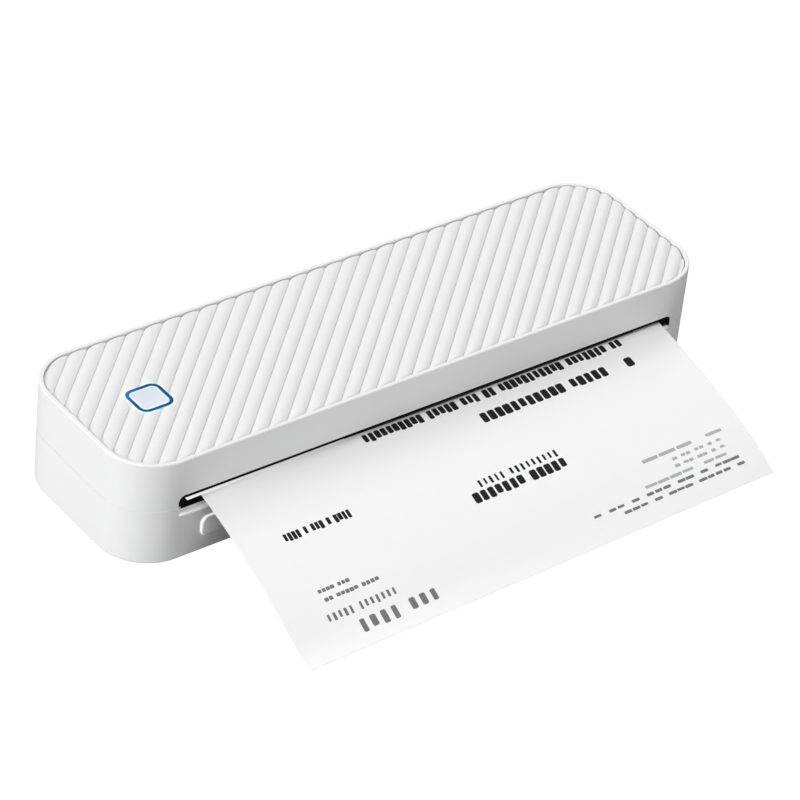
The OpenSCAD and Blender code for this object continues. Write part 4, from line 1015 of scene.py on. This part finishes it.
def edge_line(points, x):
    """A long edge of the sheet, as its length from the wall and its place, in fine steps."""
    fine = [smooth_through(points, k / EDGE_STEPS) for k in range(EDGE_STEPS + 1)]
    line, length = [], 0.0
    for k, spot in enumerate(fine):
        if k:
            length += (spot - fine[k - 1]).length
        aside = SKEW * max(0.0, (WALL - spot.x) / SKEW_LENGTH) ** 1.5
        line.append([length, Vector((x - aside, spot.x, spot.y))])
    wall = next(run for run, spot in line if spot.y < WALL)
    return [(run - wall, spot) for run, spot in line]


left_line = edge_line(LEFT_EDGE, SHEET_SIDES[0] / mm)
right_line = edge_line(RIGHT_EDGE, SHEET_SIDES[1] / mm)


def along(line, run):
    """Place on a long edge at a run from the wall; the whole run is RUN on both edges."""
    if run > 0:
        run *= line[-1][0] / RUN
    if run <= line[0][0]:
        spot = line[0][1].copy()
        spot.y += line[0][0] - run
        return spot
    low, high = 0, len(line) - 1
    while high - low > 1:
        middle = (low + high) // 2
        if line[middle][0] <= run:
            low = middle
        else:
            high = middle
    share = (run - line[low][0]) / (line[high][0] - line[low][0])
    return line[low][1].lerp(line[high][1], min(share, 1.0))


def on_sheet(across, run):
    """Place on the sheet's upper face, in metres."""
    return along(left_line, run).lerp(along(right_line, run), across / WIDE) * mm


DARK, GREY, PALE = 1, 2, 3   # the inks' places among the sheet's materials
WORD_GAP = 0.75              # in letters
CLIP = 0.18                  # a block's cut corners, as a share of its smaller side
# A row is its run and height, its right and left end, its words, its tone and its blocks' width.
PRINT_ROWS = ((2.6, 4.2, 189.5, 69.0, (2, 7, 11, 2, 3, 5, 10), DARK, 0.86),
              (12.3, 4.6, 188.2, 184.4, (1,), DARK, 0.86),
              (12.35, 4.7, 175.6, 116.1, (5, 11), DARK, 0.86),
              (38.1, 3.2, 134.5, 97.5, (9, 5), DARK, 0.42),
              (43.1, 4.6, 135.3, 92.7, (5, 7), DARK, 0.86),
              (29.3, 3.6, 46.5, 17.5, (4, 1, 3, 1, 4), DARK, 0.86),
              (55.6, 1.5, 200.6, 162.1, (1, 3), PALE, 0.93),
              (59.2, 1.3, 197.5, 174.4, (1, 1, 2, 2, 1), PALE, 0.93),
              (62.3, 1.3, 197.5, 173.8, (1, 1, 2, 2, 1), PALE, 0.93),
              (65.7, 1.3, 196.4, 157.6, (2, 4), PALE, 0.93),
              (68.6, 1.2, 200.3, 131.7, (3, 1, 2, 3, 1, 2, 1), GREY, 0.93),
              (71.6, 1.2, 201.3, 144.1, (1, 4, 3, 1, 3), GREY, 0.93),
              (53.5, 1.5, 31.5, 17.9, (3, 4), GREY, 0.93),
              (57.3, 1.6, 42.2, 18.7, (4, 5, 2), GREY, 0.93),
              (64.3, 3.2, 46.1, 15.8, (7, 5), GREY, 0.5),
              (71.6, 5.4, 60.7, 25.6, (3, 4), GREY, 0.55))
print_blocks = []
ink = random.Random(3)


def print_row(run, high, right, left, words, tone, fill):
    """A row of words made of plain blocks, from the right end of the row to its left end."""
    letters = sum(words) + WORD_GAP * (len(words) - 1)
    step = (right - left) / letters
    x = right
    for count in words:
        for _ in range(count):
            wide = step * fill * ink.uniform(0.82, 1.08)
            tall = high * ink.choice((1.0, 1.0, 0.86))
            x0, x1 = x - step / 2 - wide / 2, x - step / 2 + wide / 2
            y0, y1 = run - high / 2, run - high / 2 + tall
            clip = min(wide, tall) * CLIP
            print_blocks.append(([(x0, y0 + clip), (x0 + clip, y0), (x1 - clip, y0), (x1, y0 + clip),
                                  (x1, y1 - clip), (x1 - clip, y1), (x0 + clip, y1), (x0, y1 - clip)], tone))
            x -= step
        x -= WORD_GAP * step


for row in PRINT_ROWS:
    print_row(*row)

FLAT_RUN = -4.0              # the runs up to here lie flat inside and need no cross lines
REAR_RUN = WALL - REAR
columns = [WIDE * k / 20 for k in range(21)]
curved_runs = [RUN - (RUN - FLAT_RUN) * k / 24 for k in range(25)]
border_outline = [(across, REAR_RUN) for across in columns]
border_outline += [(WIDE, run) for run in reversed(curved_runs)]
border_outline += [(across, RUN) for across in reversed(columns[:-1])]
border_outline += [(0, run) for run in curved_runs[1:]]
grid = [[(across, REAR_RUN), (across, RUN)] for across in columns[1:-1]]
grid += [[(0, run), (WIDE, run)] for run in curved_runs[1:]]
outlines = [(border_outline, True)] + [(outline, True) for outline, _ in print_blocks]
flat_points, flat_faces = flat_mesh(outlines, grid)
sheet = bmesh.new()
tops, _, _ = plate(sheet, flat_points, flat_faces, on_sheet,
                   lambda across, run: on_sheet(across, run) - Vector((0, 0, PAPER)))
for top, (_, who) in zip(tops, flat_faces):
    block = max(who)
    top.material_index = print_blocks[block - 1][1] if block else 0
paper_white = finish("paper_white", (0.945, 0.945, 0.945), (0.93, 0.93, 0.93), patch=0.004,
                     rough=(0.75, 0.85), grain=0.0003, relief=0.000006)
ink_dark = finish("ink_dark", (0.012, 0.012, 0.012), (0.02, 0.02, 0.02), patch=0.002,
                  rough=(0.6, 0.75), grain=0.0003, relief=0.000004, specular=0.1)
ink_grey = finish("ink_grey", (0.16, 0.16, 0.165), (0.22, 0.22, 0.225), patch=0.002,
                  rough=(0.5, 0.65), grain=0.0003, relief=0.000004, specular=0.1)
ink_pale = finish("ink_pale", (0.42, 0.42, 0.425), (0.48, 0.48, 0.485), patch=0.002,
                  rough=(0.5, 0.65), grain=0.0003, relief=0.000004, specular=0.1)
printed = piece("printed_sheet", sheet, [paper_white, ink_dark, ink_grey, ink_pale], "sheet")
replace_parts(printed, "paper_sheet")
